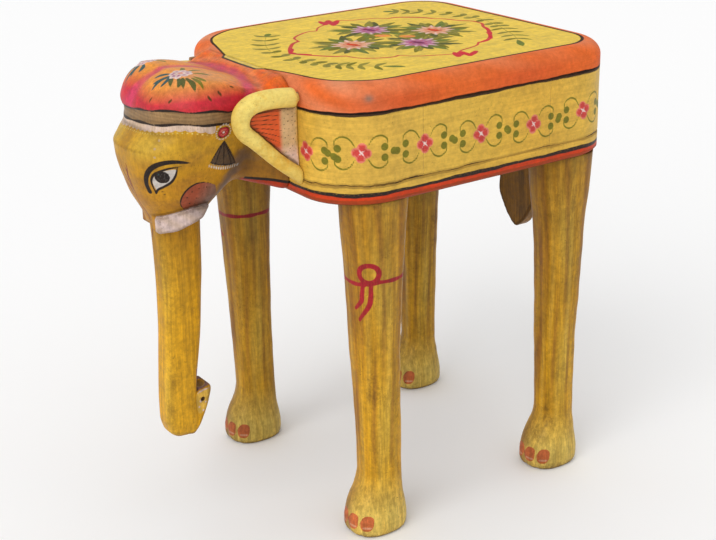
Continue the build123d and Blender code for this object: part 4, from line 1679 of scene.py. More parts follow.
@dataclass
class Legs:
    """The four legs, with their feet, toenails and painted anklets."""

    workshop: Workshop
    step: float = 1.7
    around: int = 112
    girth: float = 26.0
    knot_level: float = 266.0
    # Painted shade for each leg: a factor that darkens the legs that stand in shade under the seat.
    shades: tuple[tuple[str, float], ...] = (
        ("front_left", 1.0),
        ("front_right", 0.72),
        ("rear_left", 0.88),
        ("rear_right", 0.74),
    )
    finish: PaintedFinish = PaintedFinish(
        "limb_paint", GrainWay.UPRIGHT, streak_depth=0.42, edge_wear=0.8, patch_wear=0.45, rub_share=0.5,
        fleck_amount=0.9, mottle=0.24, line_dryness=0.3, relief_mm=0.3,
    )
    toenails: tuple[float, ...] = (-23.7, -9.4, 5.2, 19.8)
    ring_at: Run = Run(
        ((-29.7, 3.6), (-18, 2.5), (-5.5, 3.5), (2.3, 4.9), (10, 5.8), (18, 5.3), (30, 4.8), (40, 5))
    )
    bow_tails: tuple[tuple[tuple[float, float], ...], ...] = (
        ((-5.1, 1.2), (-6.3, -7), (-7.4, -13.2), (-14.5, -21.5)),
        ((1.8, 1.9), (1.3, -9.5), (-1, -18), (-10.3, -31.8)),
    )

    def sections(self, front: bool) -> list[Section]:
        """The leg from its sole to its shoulder: the front legs lean forward and are stouter."""
        lean, slim = (1, 0) if front else (0, 2.2)
        size = 1.0 if front else 0.985
        rows = [
            (0.0, 4.5, 43.0, 52.0, 19.0),
            (1.5, 4.8, 46.0, 55.5, 20.0),
            (4.0, 5.2, 48.5, 58.5, 21.0),
            (9.0, 5.5, 50.0, 60.4, 22.0),
            (15.0, 5.5, 50.0, 60.4, 22.0),
            (21.0, 5.2, 48.8, 58.5, 22.0),
            (28.0, 4.9, 47.0, 55.5, 21.0),
            (35.0, 4.2, 44.8, 51.0, 20.0),
            (42.0, 2.5, 42.5, 45.8, 18.5),
            (54.0, 0.6, 40.2 - slim, 41.0 - slim, 18.5),
            (62.0, 0.0, 39.5 - slim, 39.5 - slim, 18.5),
            (126.0, lean, 41.0 - slim, 41.0 - slim, 18.5),
            (186.0, 2.0 * lean, 44.5 - slim, 44.5 - slim, 18.7),
            (258.0, 2.4 * lean, 50.0 - slim, 50.5 - slim, 19.0),
            (296.0, 2.4 * lean, 54.5, 56.0, 19.5),
            (332.0, 1.5 * lean, 60.0, 60.0, 20.0),
        ]
        return [
            Section(level + FLOOR, reach, width * size, depth * size, radius)
            for level, reach, width, depth, radius in rows
        ]

    def build(self) -> None:
        """Makes the four legs."""
        for number, (corner, shade) in enumerate(self.shades):
            self.build_leg(f"{corner}_leg", number, shade)

    def build_leg(self, node: str, number: int, shade: float) -> None:
        """Makes one leg, with its own whittled unevenness.

        Args:
            node: The leg's CAD node.
            number: Sets the leg's own unevenness.
            shade: How much painted shade darkens the whole leg.
        """
        box = Span.of(node)
        middle_x = float(box.middle[0])
        middle_y = float(box.high[1] - 30.0)
        sections = self.sections(node.startswith("front"))
        shell = column((middle_x, middle_y), sections, self.step, self.around, 2.5)
        z = shell.points[:, 2]
        height = float(z.max())
        above = z - FLOOR
        out = shell.points[:, :2] - (middle_x, middle_y - 4.0)
        radius = np.linalg.norm(out, axis=1)
        angle = np.arctan2(out[:, 1], out[:, 0])
        facets = 0.45 * np.cos(7 * angle + 1.3 * number + z / 90.0) * np.clip(above / 60.0, 0.2, 1)
        drift = waver(z * 0.5, 0.9 * number + 0.4, 0.8)
        inward = 0.25 + 0.5 * facets + 0.35 * np.sin(3 * angle + z / 41.0 + number)
        scale = 1 - np.clip(inward, 0, 1.2) * np.clip(above / 45.0, 0.15, 1) / np.maximum(radius, 1)
        shell.points[:, :2] = (middle_x, middle_y - 4.0) + out * scale[:, None]
        middle_share = np.sin(above / (height - FLOOR) * math.pi)
        shell.points[:, 0] += np.where((above > 45) & (z < height - 25), drift * middle_share, 0)
        self.carve_toes(shell, middle_x, middle_y)
        painted = PaintedShell(shell, Pigment.MUSTARD)
        # Painted shade over the whole leg.
        painted.shade *= shade
        self.paint_leg(painted, node, middle_x, middle_y)
        self.workshop.piece(f"{node}_painted", painted, self.finish, [node], "painted_limbs")

    def toes(self, points: Points, middle_x: float, middle_y: float) -> Points:
        """The chart of a foot: how far round from straight ahead, and the level above the floor."""
        ahead = np.arctan2(points[:, 0] - middle_x, -(points[:, 1] - (middle_y - 8.0)))
        return np.stack([ahead * self.girth, points[:, 2] - FLOOR], 1)

    def carve_toes(self, shell: Shell, middle_x: float, middle_y: float) -> None:
        """Presses shallow grooves between the toes."""
        around, above = self.toes(shell.points, middle_x, middle_y).T
        out = shell.points[:, :2] - (middle_x, middle_y - 8.0)
        for groove in (-16.5, -2.0, 12.5):
            near = hump(around - groove, 2.4) * part_of(22.0 - above, 14.0)
            shell.points[:, :2] -= 0.035 * near[:, None] * out

    def paint_leg(self, painted: PaintedShell, node: str, middle_x: float, middle_y: float) -> None:
        """Paints the leg's tones, with painted shade towards the top and painted highlights on the foot and
        one side, its toenails and, in front, the anklet with its bow.
        """
        x, y, z = painted.shell.points.T
        height = float(z.max())
        chart = self.toes(painted.shell.points, middle_x, middle_y)
        above = chart[:, 1]
        angle = np.arctan2(y - middle_y, x - middle_x)
        # Painted shade: darker and browner towards the top, under the seat; painted light: paler at the foot.
        upper = part_of(above - 130.0, 180.0)
        painted.tone(0.40 * upper, Pigment.AMBER)
        painted.shade *= 1 - 0.24 * upper
        painted.tone(0.65 * part_of(62 - above, 40), Pigment.STRAW)
        # Painted highlight: a lemon stripe down the side that faces the light.
        painted_highlight = hump(angle + 0.25 + 0.12 * np.sin(z / 37.0), 0.42)
        painted.tone(0.50 * painted_highlight * (0.7 + 0.3 * np.sin(z / 23.0 + x / 9.0)), Pigment.LEMON)
        # A darker brown strip down the front of the leg.
        rubbed = hump(angle + 1.75 + 0.15 * np.sin(z / 51.0), 0.30)
        painted.tone(0.75 * rubbed * (0.55 + 0.45 * np.sin(above / 17.0 + 0.5)), Pigment.WOOD_BROWN)
        streaks = np.sin(11.0 * angle + 1.3 * np.sin(above / 47.0)) * np.sin(4.0 * angle + above / 90.0)
        painted.tone(0.55 * np.clip(streaks, 0, 1) * part_of(above - 30.0, 60.0), Pigment.WOOD_BROWN)
        painted.tone(0.40 * np.clip(-streaks, 0, 1), Pigment.OCHRE)
        painted.tone(0.75 * part_of(3.5 - above, 3.0), Pigment.UMBER)
        # Painted shade just under the seat.
        painted.shade *= 1 - 0.25 * part_of(z - height + 10, 10) ** 2
        fill, line = painted.fill, painted.line
        for toe in self.toenails:
            nail = np.array([(toe - 0.8, 14.5), (toe + 0.8, 18.0)])
            fill.stroke(chart, nail, 12.8, Pigment.TOENAIL, (1.0, 1.0))
            low = np.array([(toe - 3.4, 12.0), (toe + 3.4, 12.0)])
            line.stroke(chart, low, 3.0, Pigment.PEACH, (0.7, 0.7))
            arc = [(toe - 6.9, 13.5), (toe - 5.6, 19.0), (toe, 23.6), (toe + 5.6, 19.0), (toe + 6.9, 13.5)]
            line.stroke(chart, smooth_path(arc, 4), 0.8, Pigment.CHEEK, (0.3, 0.3))
        if node.startswith("front"):
            self.paint_anklet(painted, middle_x, middle_y)

    def paint_anklet(self, painted: PaintedShell, middle_x: float, middle_y: float) -> None:
        """Paints the red ring round a front leg, with its bow on the outer side."""
        x, y, z = painted.shell.points.T
        mark = painted.mark
        outward = 1.0 if middle_x > 0 else -1.0
        turn = np.arctan2((x - middle_x) * outward, -(y - middle_y))
        chart = np.stack([(turn - 0.75) * self.girth, z - self.knot_level], 1)
        rise = self.ring_at.at(chart[:, 0])
        distance = np.abs(chart[:, 1] - rise) - 1.9 - 0.25 * np.sin(chart[:, 0] / 3.0)
        mark.cover(distance, Pigment.KNOT_RED, np.abs(distance) < FAR)
        loop = np.array([(0.5, 14.0) + 8.3 * turned(angle) for angle in np.linspace(0, 2 * math.pi, 25)])
        mark.stroke(chart, loop, 4.6, Pigment.KNOT_RED, (1.0, 1.0))
        for tail in self.bow_tails:
            mark.stroke(chart, smooth_path(tail, 6), 4.6, Pigment.KNOT_RED, (0.8, 0.7))


# ---- head -----------------------------------------------------------------------------


@dataclass
class Head:
    """The carved head: skull with its domed crown, neck and blunt tusks."""

    workshop: Workshop
    seat: BoxSeat
    pitch: float = 1.25
    crown_level: float = 456.0
    overlap: float = 0.9

    finish: PaintedFinish = PaintedFinish(
        "head_paint", GrainWay.UPRIGHT, streak_depth=0.22, edge_wear=0.6, patch_wear=0.36, rub_share=0.40,
        fleck_amount=0.9, mottle=0.2, line_dryness=0.06, relief_mm=0.25,
    )
    front: Run = Run(
        ((316, -206), (321, -209), (330, -212), (348, -220.5), (362, -225), (372, -228), (384, -229.8),
         (393, -229.9), (401, -223.5), (410, -215.5), (420, -214.5), (428, -216), (438, -216.5),
         (456, -216.5))
    )
    middle: Run = Run(
        ((316, -186), (330, -180), (350, -175), (372, -174), (393, -171), (410, -166), (456, -165))
    )
    back: Run = Run(
        ((316, -172), (330, -160), (343, -150), (356, -138.5), (372, -124.5), (393, -116), (456, -112))
    )
    half_width: Run = Run(
        ((316, 20), (321, 22), (330, 27), (338, 32), (345, 37.5), (350, 41), (372, 47), (393, 54),
         (408, 60.5), (420, 63.5), (428, 65.5), (456, 65.5))
    )
    tusk_side: Run = Run(((-212, 21.5), (-204, 26), (-194, 33), (-183, 37), (-168, 38)))
    tusk_roof: Run = Run(((-212, 330), (-204, 333), (-194, 336), (-183, 338.3), (-168, 339.5)))
    tusk_sole: Run = Run(((-212, 315.8), (-200, 317.5), (-188, 323), (-174, 328.5), (-168, 331)))
    band_top_at: Run = Run(
        ((-86, 426.3), (-61, 428.5), (-46, 425.5), (-32.5, 422), (-13.6, 423.8), (8.9, 426), (26, 428),
         (38, 430.4), (47, 430.9), (61, 429.5), (74, 429.8), (81.4, 428.2), (86, 426.3))
    )
    band_low_at: Run = Run(
        ((-87, 416.2), (-61, 418), (-48, 415), (-35.4, 411.5), (-10, 414), (9, 414.7), (26, 416.1),
         (40.7, 417.8), (51.8, 419), (61, 418.5), (69, 417.5), (78, 417.2), (87, 416.2))
    )
    lace_at: Run = Run(((0, 5.4), (35, 5.2), (56, 4.4), (66, 5), (76, 7.4)))
    collar_at: Run = Run(
        ((-65, -136), (-43, -128), (-18, -123.8), (8, -123), (31.5, -127.5), (52, -133.8), (65, -138.2),
         (80, -141))
    )
    chart_y: float = -170.0
    chart_radius: float = 50.0
    stripe_x: float = -8.0
    neck_half_top: Run = Run(((-165, 50), (-150, 62), (-134, 69), (-115, 76), (-106, 79), (-92, 79)))
    neck_half_low: Run = Run(((-165, 26), (-134, 33), (-122, 44), (-115, 53), (-106, 69), (-92, 72)))
    neck_floor: Run = Run(((-180, 376), (-161, 364), (-134, 352), (-115, 347.5), (-106, 346.5), (-92, 346.5)))
    neck_roof: Run = Run(
        ((-165, 446), (-150, 444.5), (-138, 442.5), (-128, 442), (-121, 444.6), (-116, 447.6),
         (-112, 449.2), (-108, 449.7), (-105, 449.75))
    )

    def skull(self, points: Points) -> np.ndarray:
        """The skull with its cheeks, under a domed crown."""
        x, y, z = points.T
        front, middle, back = self.front.at(z), self.middle.at(z), self.back.at(z)
        half_depth = np.where(y < middle, middle - front, back - middle)
        sides = oval(x, y - middle, self.half_width.at(z), half_depth, 2.5)
        ahead = np.clip(-180.0 - y, 0, None)
        behind = np.clip(y + 180.0, 0, None)
        slope = np.clip(np.abs(x) - 24.0, 0, None) ** 2 / 150.0 + ahead**2 / 68.0 + behind**2 / 150.0
        groove = hump(x - self.stripe_x, 9.0)
        crown = self.crown_level - 1.1 - slope - 2.4 * groove
        roofed = blend_cut(sides, (z - crown) * 0.92, 18.0)
        roofed = np.maximum(roofed, z - self.crown_level + 0.2)
        return blend_cut(roofed, 318.0 - z, 5.0)

    def neck(self, points: Points) -> np.ndarray:
        """The neck, which spreads into the front of the box."""
        x, y, z = points.T
        floor, roof = self.neck_floor.at(y), self.neck_roof.at(y)
        share = np.clip((z - floor) / (roof - floor), 0, 1)
        half = self.neck_half_low.at(y) * (1 - share) + self.neck_half_top.at(y) * share
        roof = roof - 0.85 * (self.seat.edge_at(x) - self.seat.neck_edge)
        walls = (np.abs(x) - half) * 0.92
        body = blend_cut(walls, floor - z, 14.0)
        body = blend_cut(body, z - roof, 6.0)
        return np.maximum(body, -176.0 - y)

    def tusks(self, points: Points) -> np.ndarray:
        """The two blunt bars along the jaw, sawn off in front: the right one is shorter."""
        x, y, z = points.T
        right = x < 0
        side = self.tusk_side.at(y) - 3.0 * right
        roof, sole = self.tusk_roof.at(y), self.tusk_sole.at(y)
        front = np.where(right, -206.5, -211.8)
        rear = -168.0 - 0.65 * np.clip(roof - z, 0, 15)
        low, high = np.stack([side - 14.0, front, sole], 1), np.stack([side, rear, roof], 1)
        return rounded_box(points * (np.sign(x + 1e-9)[:, None] ** [1, 0, 0]), low, high, 2.2)

    def relief(self, points: Points, body: np.ndarray) -> np.ndarray:
        """Adds the carved detail: headband, cap edge, brow and cheek."""
        x, y, z = points.T
        ax = np.abs(x)
        around = np.copysign(self.chart(points)[:, 0], x)
        top, low = self.band_top_at.at(around), self.band_low_at.at(around)
        band = np.exp(-(((z - (top + low) / 2) / (0.5 * (top - low))) ** 8))
        in_front = part_of(-134.0 - y, 8.0)
        cap_lip = hump(z - top - 3.5, 3.5)
        body = body + in_front * (0.8 * band - 0.5 * cap_lip)
        eye = np.exp(-(((y + 197.0 + 0.25 * (z - 371.0)) / 13.0) ** 2) - (((z - 371.0) / 9.0) ** 2))
        socket = np.exp(-(((y + 198.0) / 20.0) ** 2) - (((z - 372.0) / 15.0) ** 2))
        cheek = np.exp(-(((y + 178.0) / 18.0) ** 2) - (((z - 350.0) / 16.0) ** 2)) * part_of(ax, 20.0)
        return body + 1.6 * socket - 1.5 * eye - 1.2 * cheek

    def shape(self, points: Points) -> np.ndarray:
        """The whole head, cut to sit against the box."""
        body = blend_join(self.skull(points), self.neck(points), 16.0)
        body = self.relief(points, body)
        body = blend_join(body, self.tusks(points), 2.5)
        y, z = points.T[1:]
        front = self.seat.plan.front_y
        top = float(self.seat.plan.box.high[2])
        wall = np.where(z > top - 2.0, self.overlap, 0.1)
        return np.maximum(body, y - front - wall)

    def build(self) -> None:
        """Carves, paints and places the head."""
        box = Span.of("head")
        low = box.low - (0.0, 1.0, 1.0)
        high = (box.high[0], self.seat.plan.front_y + self.overlap, self.crown_level)
        shell = carve(self.shape, low, high, self.pitch)
        painted = PaintedShell(shell, Pigment.MUSTARD)
        self.paint(painted)
        self.workshop.piece("head_painted", painted, self.finish, ["head"], "painted_head")

    def chart(self, points: Points) -> Points:
        """Unrolls the head: how far round from the front, the same on both sides, and the level."""
        x, y, z = points.T
        around = self.chart_radius * np.arctan2(np.abs(x), self.chart_y - y)
        return np.stack([around, z], 1)

    def paint(self, painted: PaintedShell) -> None:
        """Paints the whole head."""
        points = painted.shell.points
        chart = self.chart(points)
        side = points[:, 1] < -128.0
        self.paint_cap(painted, chart)
        self.paint_crown_flowers(painted)
        self.paint_headband(painted, chart, side)
        self.paint_tassel(painted, chart, side & (np.abs(points[:, 0]) > 25))
        self.paint_eye(painted, chart, side)
        self.paint_cheek(painted, chart, side & (points[:, 2] > 337.0))
        self.paint_brow_marks(painted)
        self.paint_jaw(painted, chart)
        up = painted.shell.normals()[:, 2] > 0.25
        self.seat.panel.paint_edge(painted, up & (points[:, 1] > -125))

    def paint_cap(self, painted: PaintedShell, chart: Points) -> None:
        """Paints the cap from marigold to crimson, its magenta stripes, the orange neck, and painted shade on
        the face below the headband and behind the cheek.
        """
        x, y, z = painted.shell.points.T
        low = part_of(449.0 - z - 3.0 * np.sin(x / 13.0), 14.0)[:, None] ** 0.9
        colour = mixture(Pigment.MARIGOLD, Pigment.CRIMSON, low)
        beyond = y - self.collar_at.at(x)
        flare = part_of(446.0 - z, 18.0)
        across = (x - self.stripe_x + 7.0 * flare) / (5.5 + 5.0 * flare)
        pale = np.exp(-(((np.abs(x + 4) - 44) / 13) ** 2) - (((y + 172) / 24) ** 2))
        washes = [
            (0.55 * pale, Pigment.PEACH),
            (0.85 * np.exp(-(across**4)) * (y < -135), Pigment.MAGENTA),
            (np.clip(0.5 + beyond / 5.0, 0, 1), Pigment.ORANGE),
            (0.9 * np.exp(-((beyond / 5.6) ** 4)), Pigment.MAGENTA),
            (0.35 * hump(beyond - 10.0, 3.0), Pigment.PEACH),
        ]
        for share, paint in washes:
            share = np.clip(share * (0.85 + 0.15 * np.sin(x / 3.1 + y / 4.7)), 0, 1)[:, None]
            colour = mixture(colour, paint, share)
        edge = self.band_top_at.at(np.copysign(chart[:, 0], x)) - z
        painted.fill.cover(edge, colour)
        painted.tone(0.5 * part_of(400.0 - z, 50.0), Pigment.AMBER)
        smudge = np.sin(x / 7.0 + z / 11.0) * np.sin(z / 6.0 - y / 9.0 + 1.0)
        painted.tone(0.35 * np.clip(smudge + 0.2, 0, 1) * (z < 412.0), Pigment.WOOD_BROWN)
        # Painted shade: darker below the headband.
        painted.shade *= 1 - 0.16 * part_of(425.0 - z, 20.0)
        # Painted shade behind the cheek, under the ear: darker and browner.
        behind = part_of(y + 160.0, 25.0) * part_of(410.0 - z, 20.0)
        painted.shade *= 1 - 0.20 * behind
        painted.tone(0.4 * behind, Pigment.WOOD_BROWN)
        painted.tone(0.5 * np.exp(-(((np.abs(x) - 30) / 22) ** 2) - (((z - 400) / 14) ** 2)), Pigment.LEMON)
        floor = self.seat.base.low[2] + self.seat.black_line_rise
        band = np.maximum(z - floor, -133.0 - y)
        painted.fill.cover(band, Pigment.VERMILION)
        line = np.maximum(np.abs(z - floor) - 1.5, -131.0 - y)
        painted.line.cover(line, Pigment.BLACK)

    def paint_crown_flowers(self, painted: PaintedShell) -> None:
        """Paints a flower with a fan of leaves on each half of the cap."""
        x, y, z = painted.shell.points.T
        mark, line = painted.mark, painted.line
        on_cap = z > 427.0
        leaves = [
            ((12.6, -191), (6.6, -198)), ((18, -194), (13, -203)), ((20, -194), (17.8, -207)),
            ((22, -195), (26.6, -202.7)), ((26, -194.5), (36.5, -198)), ((36, -191), (43.4, -194.6)),
            ((40.5, -188), (47.6, -191.5)), ((44.7, -185), (56.4, -185)),
            ((47.5, -179.6), (58.5, -178.4)), ((44.7, -175), (51.6, -172.3)), ((34.4, -169.6), (38.6, -161)),
            ((14, -176), (6, -171)), ((22, -170), (20, -160)),
        ]
        heart = np.array([25.0, -182.0])
        for mirror in (1, -1):
            flat = np.stack([x if mirror > 0 else 2 * self.stripe_x - x, y], 1)
            for number, (root, tip) in enumerate(leaves):
                root = heart + 0.75 * (np.array(root) - heart)
                bow = (1.4 if number % 2 else -1.4, 0.8)
                path = smooth_path([root, (root + tip) / 2 + bow, tip], 5)
                paint = (Pigment.TEAL, Pigment.DARK_LEAF, Pigment.OLIVE)[min(number // 4, 2)]
                mark.stroke(flat, path, 4.3, paint, (0.5, 0.12), on_cap)
            for petal in range(8):
                way = turned(2 * math.pi * petal / 8)
                line.dot(flat, heart + 7.4 * way, 3.2, Pigment.PALE_PINK, on_cap)
                line.dot(flat, heart + 6.4 * way, 1.5, Pigment.MAUVE, on_cap)
            line.dot(flat, heart, 4.2, Pigment.PALE_PINK, on_cap)
            line.dot(flat, heart, 2.4, Pigment.ROSE, on_cap)
            for spot in ((59.5, -165.5), (60, -154), (61, -176), (22, -211), (44, -204)):
                dash = np.array([spot, np.add(spot, (1.2, 1.8))])
                line.stroke(flat, dash, 2.0, Pigment.UMBER, (0.8, 0.6), on_cap)

    def paint_headband(self, painted: PaintedShell, chart: Points, side: np.ndarray) -> None:
        """Paints the brown headband between black lines, and the white lace under it."""
        around, level = np.copysign(chart[:, 0], painted.shell.points[:, 0]), chart[:, 1]
        round_chart = np.stack([around, level], 1)
        top, low = self.band_top_at.at(around), self.band_low_at.at(around)
        band = np.maximum(level - top, low - level)
        shade = 0.5 + 0.5 * np.sin(level * 1.9 + np.sin(around / 9.0))[:, None]
        colour = Pigment.TAUPE.linear * (0.8 + 0.3 * shade)
        painted.fill.cover(band, colour, side)
        for edge in (top, low):
            uneven = 0.95 + 0.3 * np.sin(around / 5.3)
            distance = np.abs(level - edge - 0.4 * np.sin(around / 7.0)) - uneven
            painted.line.cover(distance, Pigment.BLACK, side)
        scallop = self.lace_at.at(np.abs(around)) + 1.4 * np.abs(np.sin(math.pi * around / 7.0))
        lace = np.maximum(level - low, low - scallop - level)
        veil = np.clip(0.35 + 0.4 * np.sin(around * 2.3) ** 2, 0, 1)[:, None]
        colour = mixture(Pigment.BEIGE, Pigment.PALE_PINK, veil)
        painted.mark.cover(lace, colour, side & (np.abs(around) < 78))
        for place in np.arange(-75.5, 78.0, 3.5):
            drop = float(self.lace_at.at(np.array([abs(place)]))[0]) + 2.6
            middle = (place, float(self.band_low_at.at(np.array([place]))[0]) - drop)
            painted.line.dot(round_chart, middle, 0.7, Pigment.STRAW, side)

    def paint_tassel(self, painted: PaintedShell, chart: Points, side: np.ndarray) -> None:
        """Paints the rosette at the temple, with its brown tassel and white fringe."""
        mark, line = painted.mark, painted.line
        rosette = np.array([84.0, 408.5])
        squeezed = (chart - rosette) * (1.2, 1.03)
        apex, left, right = (86.3, 400), (77, 380.8), (103.7, 374.7)
        fan = np.array([apex, left, (82, 378), (91, 375.5), (100, 374), right])
        mark.patch(chart, fan, Pigment.TASSEL, side)
        for foot in fan[1:]:
            line.stroke(chart, smooth_path([apex, foot], 4), 1.3, Pigment.BLACK, (0.6, 0.8), side)
        line.stroke(chart, fan[1:], 1.5, Pigment.BLACK, (0.8, 0.8), side)
        for place in np.linspace(0, 1, 13):
            foot = np.array([76.0 + 31.0 * place, 378.5 - 5.5 * place - 2.5 * math.sin(math.pi * place)])
            line.stroke(chart, np.array([foot, foot - (0, 1.8)]), 1.6, Pigment.WHITE, (0.8, 0.8), side)
        rings = ((5.6, Pigment.BLACK), (4.8, Pigment.CRIMSON), (3.0, Pigment.ROSE), (2.2, Pigment.KNOT_RED))
        for radius, paint in rings:
            mark.dot(squeezed, (0, 0), radius, paint, side)
        line.dot(squeezed, (0, 0), 1.1, Pigment.WHITE, side)
        for angle in np.linspace(0, 2 * math.pi, 18, endpoint=False):
            line.dot(squeezed, 6.9 * turned(angle), 0.75, Pigment.WHITE, side)

    def paint_eye(self, painted: PaintedShell, chart: Points, side: np.ndarray) -> None:
        """Paints the long eye with its black lids and arched brow."""
        fill, mark, line = painted.fill, painted.mark, painted.line
        white = [
            (29.8, 359.6), (28, 366), (28.7, 370.7), (32.4, 374.9), (38.8, 378.4), (47.1, 379.2),
            (46, 374.2), (42.6, 367.8), (36.4, 363.9), (32.1, 362.4),
        ]
        fill.patch(chart, smooth_path(white, 4, closed=True), Pigment.EYE_WHITE, side)
        mark.dot(chart, (36.2, 372.3), 5.8, Pigment.BLACK, side)
        line.dot(chart, (34.0, 375.0), 0.7, Pigment.TEAL, side)
        strokes = [
            (2.2, (0.5, 0.3), [
                (28.5, 356.9), (27.1, 364.6), (27.5, 369.9), (30.2, 374.8), (34.5, 377.7), (41.1, 380.3),
                (47.2, 381.2), (51.3, 381.6),
            ]),
            (2.3, (0.8, 0.4), [
                (28.5, 356.6), (31, 360.3), (36.4, 363.4), (42.6, 367.6), (46.4, 373.6), (48.4, 380.5),
            ]),
            (4.4, (0.9, 0.15), [
                (23.2, 357.5), (22.1, 364.5), (24, 372.7), (27.9, 379.2), (33.5, 383.8), (40.4, 386.2),
                (47.7, 386.4), (54.7, 384.8), (58.9, 383.6),
            ]),
            (1.0, (0.35, 0.2), [(33, 358), (36, 359)]),
            (0.9, (0.35, 0.2), [(34, 355), (37, 356.5)]),
        ]
        for width, ends, corners in strokes:
            line.stroke(chart, smooth_path(corners, 5), width, Pigment.BLACK, ends, side)
        for spot in ((33.4, 398.3), (33.4, 391.2), (36, 404.8)):
            line.dot(chart, spot, 1.0, Pigment.BEIGE, side)

    def paint_cheek(self, painted: PaintedShell, chart: Points, side: np.ndarray) -> None:
        """Paints the red cheek with its dark dots and black edge."""
        fill, line = painted.fill, painted.line
        arc = [(50, 336), (47, 343), (48.5, 350), (52, 356), (58, 361), (66, 363.5), (75, 362), (84, 358)]
        round_edge = smooth_path(arc, 4)
        cheek = np.vstack([round_edge, [(87, 350), (82, 341), (66, 334)]])
        near = np.flatnonzero(side)
        fade = np.clip((chart[near, 0] - 62) / 22 + (352 - chart[near, 1]) / 40, 0, 0.75)[:, None]
        colour = mixture(Pigment.CHEEK, Pigment.WORN, fade)
        fill.lay(near, outline_distance(chart[near], cheek), colour)
        line.stroke(chart, round_edge, 1.6, Pigment.BLACK, (0.5, 0.2), side)
        for spot in ((54, 351), (59, 356), (66, 358), (74, 358), (56, 344), (63, 349), (70, 352), (62, 342)):
            line.dot(chart, spot, 0.8, Pigment.DARK_UMBER, side)

    def paint_brow_marks(self, painted: PaintedShell) -> None:
        """Paints the red streaks down the middle of the forehead."""
        points = painted.shell.points
        front = points[:, 1] < -200
        flat = points[:, (0, 2)]
        streaks = [
            ([(2.7, 381), (3.9, 376.6), (1.7, 369.6), (1.1, 361.6), (1.3, 356.5), (2.5, 349)], 2.0),
            ([(0.5, 379), (1, 372), (-0.8, 364), (-0.5, 357)], 1.2),
            ([(2.2, 351), (0.8, 345), (0.8, 339), (3, 329), (0, 316)], 1.7),
            ([(-7.6, 376), (-5.8, 369), (-2, 361), (-0.4, 354)], 1.7),
            ([(-13.7, 361), (-10, 358.5), (-6.2, 355.7), (-0.8, 348)], 2.2),
            ([(-11, 366), (-7, 362), (-2.5, 356)], 1.1),
        ]
        for corners, width in streaks:
            path = smooth_path(corners, 5)
            painted.mark.stroke(flat, path, width, Pigment.STREAK_RED, (0.4, 0.3), front)

    def paint_jaw(self, painted: PaintedShell, chart: Points) -> None:
        """Paints the pale tusks, and the worn jaw behind the cheek with painted shade over it."""
        points = painted.shell.points
        x, y, z = points.T
        worn_path = smooth_path([(62, 337), (84, 342), (97, 355), (106, 368), (107, 380)], 5)
        worn = path_distance(chart, worn_path, np.full(len(worn_path), 6.0))
        grain = 1.5 * np.sin(z / 1.7 + np.sin(y / 2.3))
        painted.tone(0.75 * part_of(3.0 - worn + grain, 7.0), Pigment.WORN)
        # Painted shade along the worn jaw, under the cheek.
        painted.shade *= 1 - 0.38 * part_of(8.0 - worn, 14.0)
        tusk = np.maximum(self.tusks(points) - 0.5, 15.5 - np.abs(x))
        share = np.clip(0.5 + 0.5 * np.sin(y / 3.1 + z / 2.3), 0, 1)[:, None]
        colour = Pigment.PALE_PINK.linear * (1 - 0.35 * share) + Pigment.BEIGE.linear * 0.35 * share
        colour[x < 0] = Pigment.AMBER.linear
        painted.fill.cover(tusk, colour, tusk < FAR)


# ---- trunk, ears and tail -------------------------------------------------------------


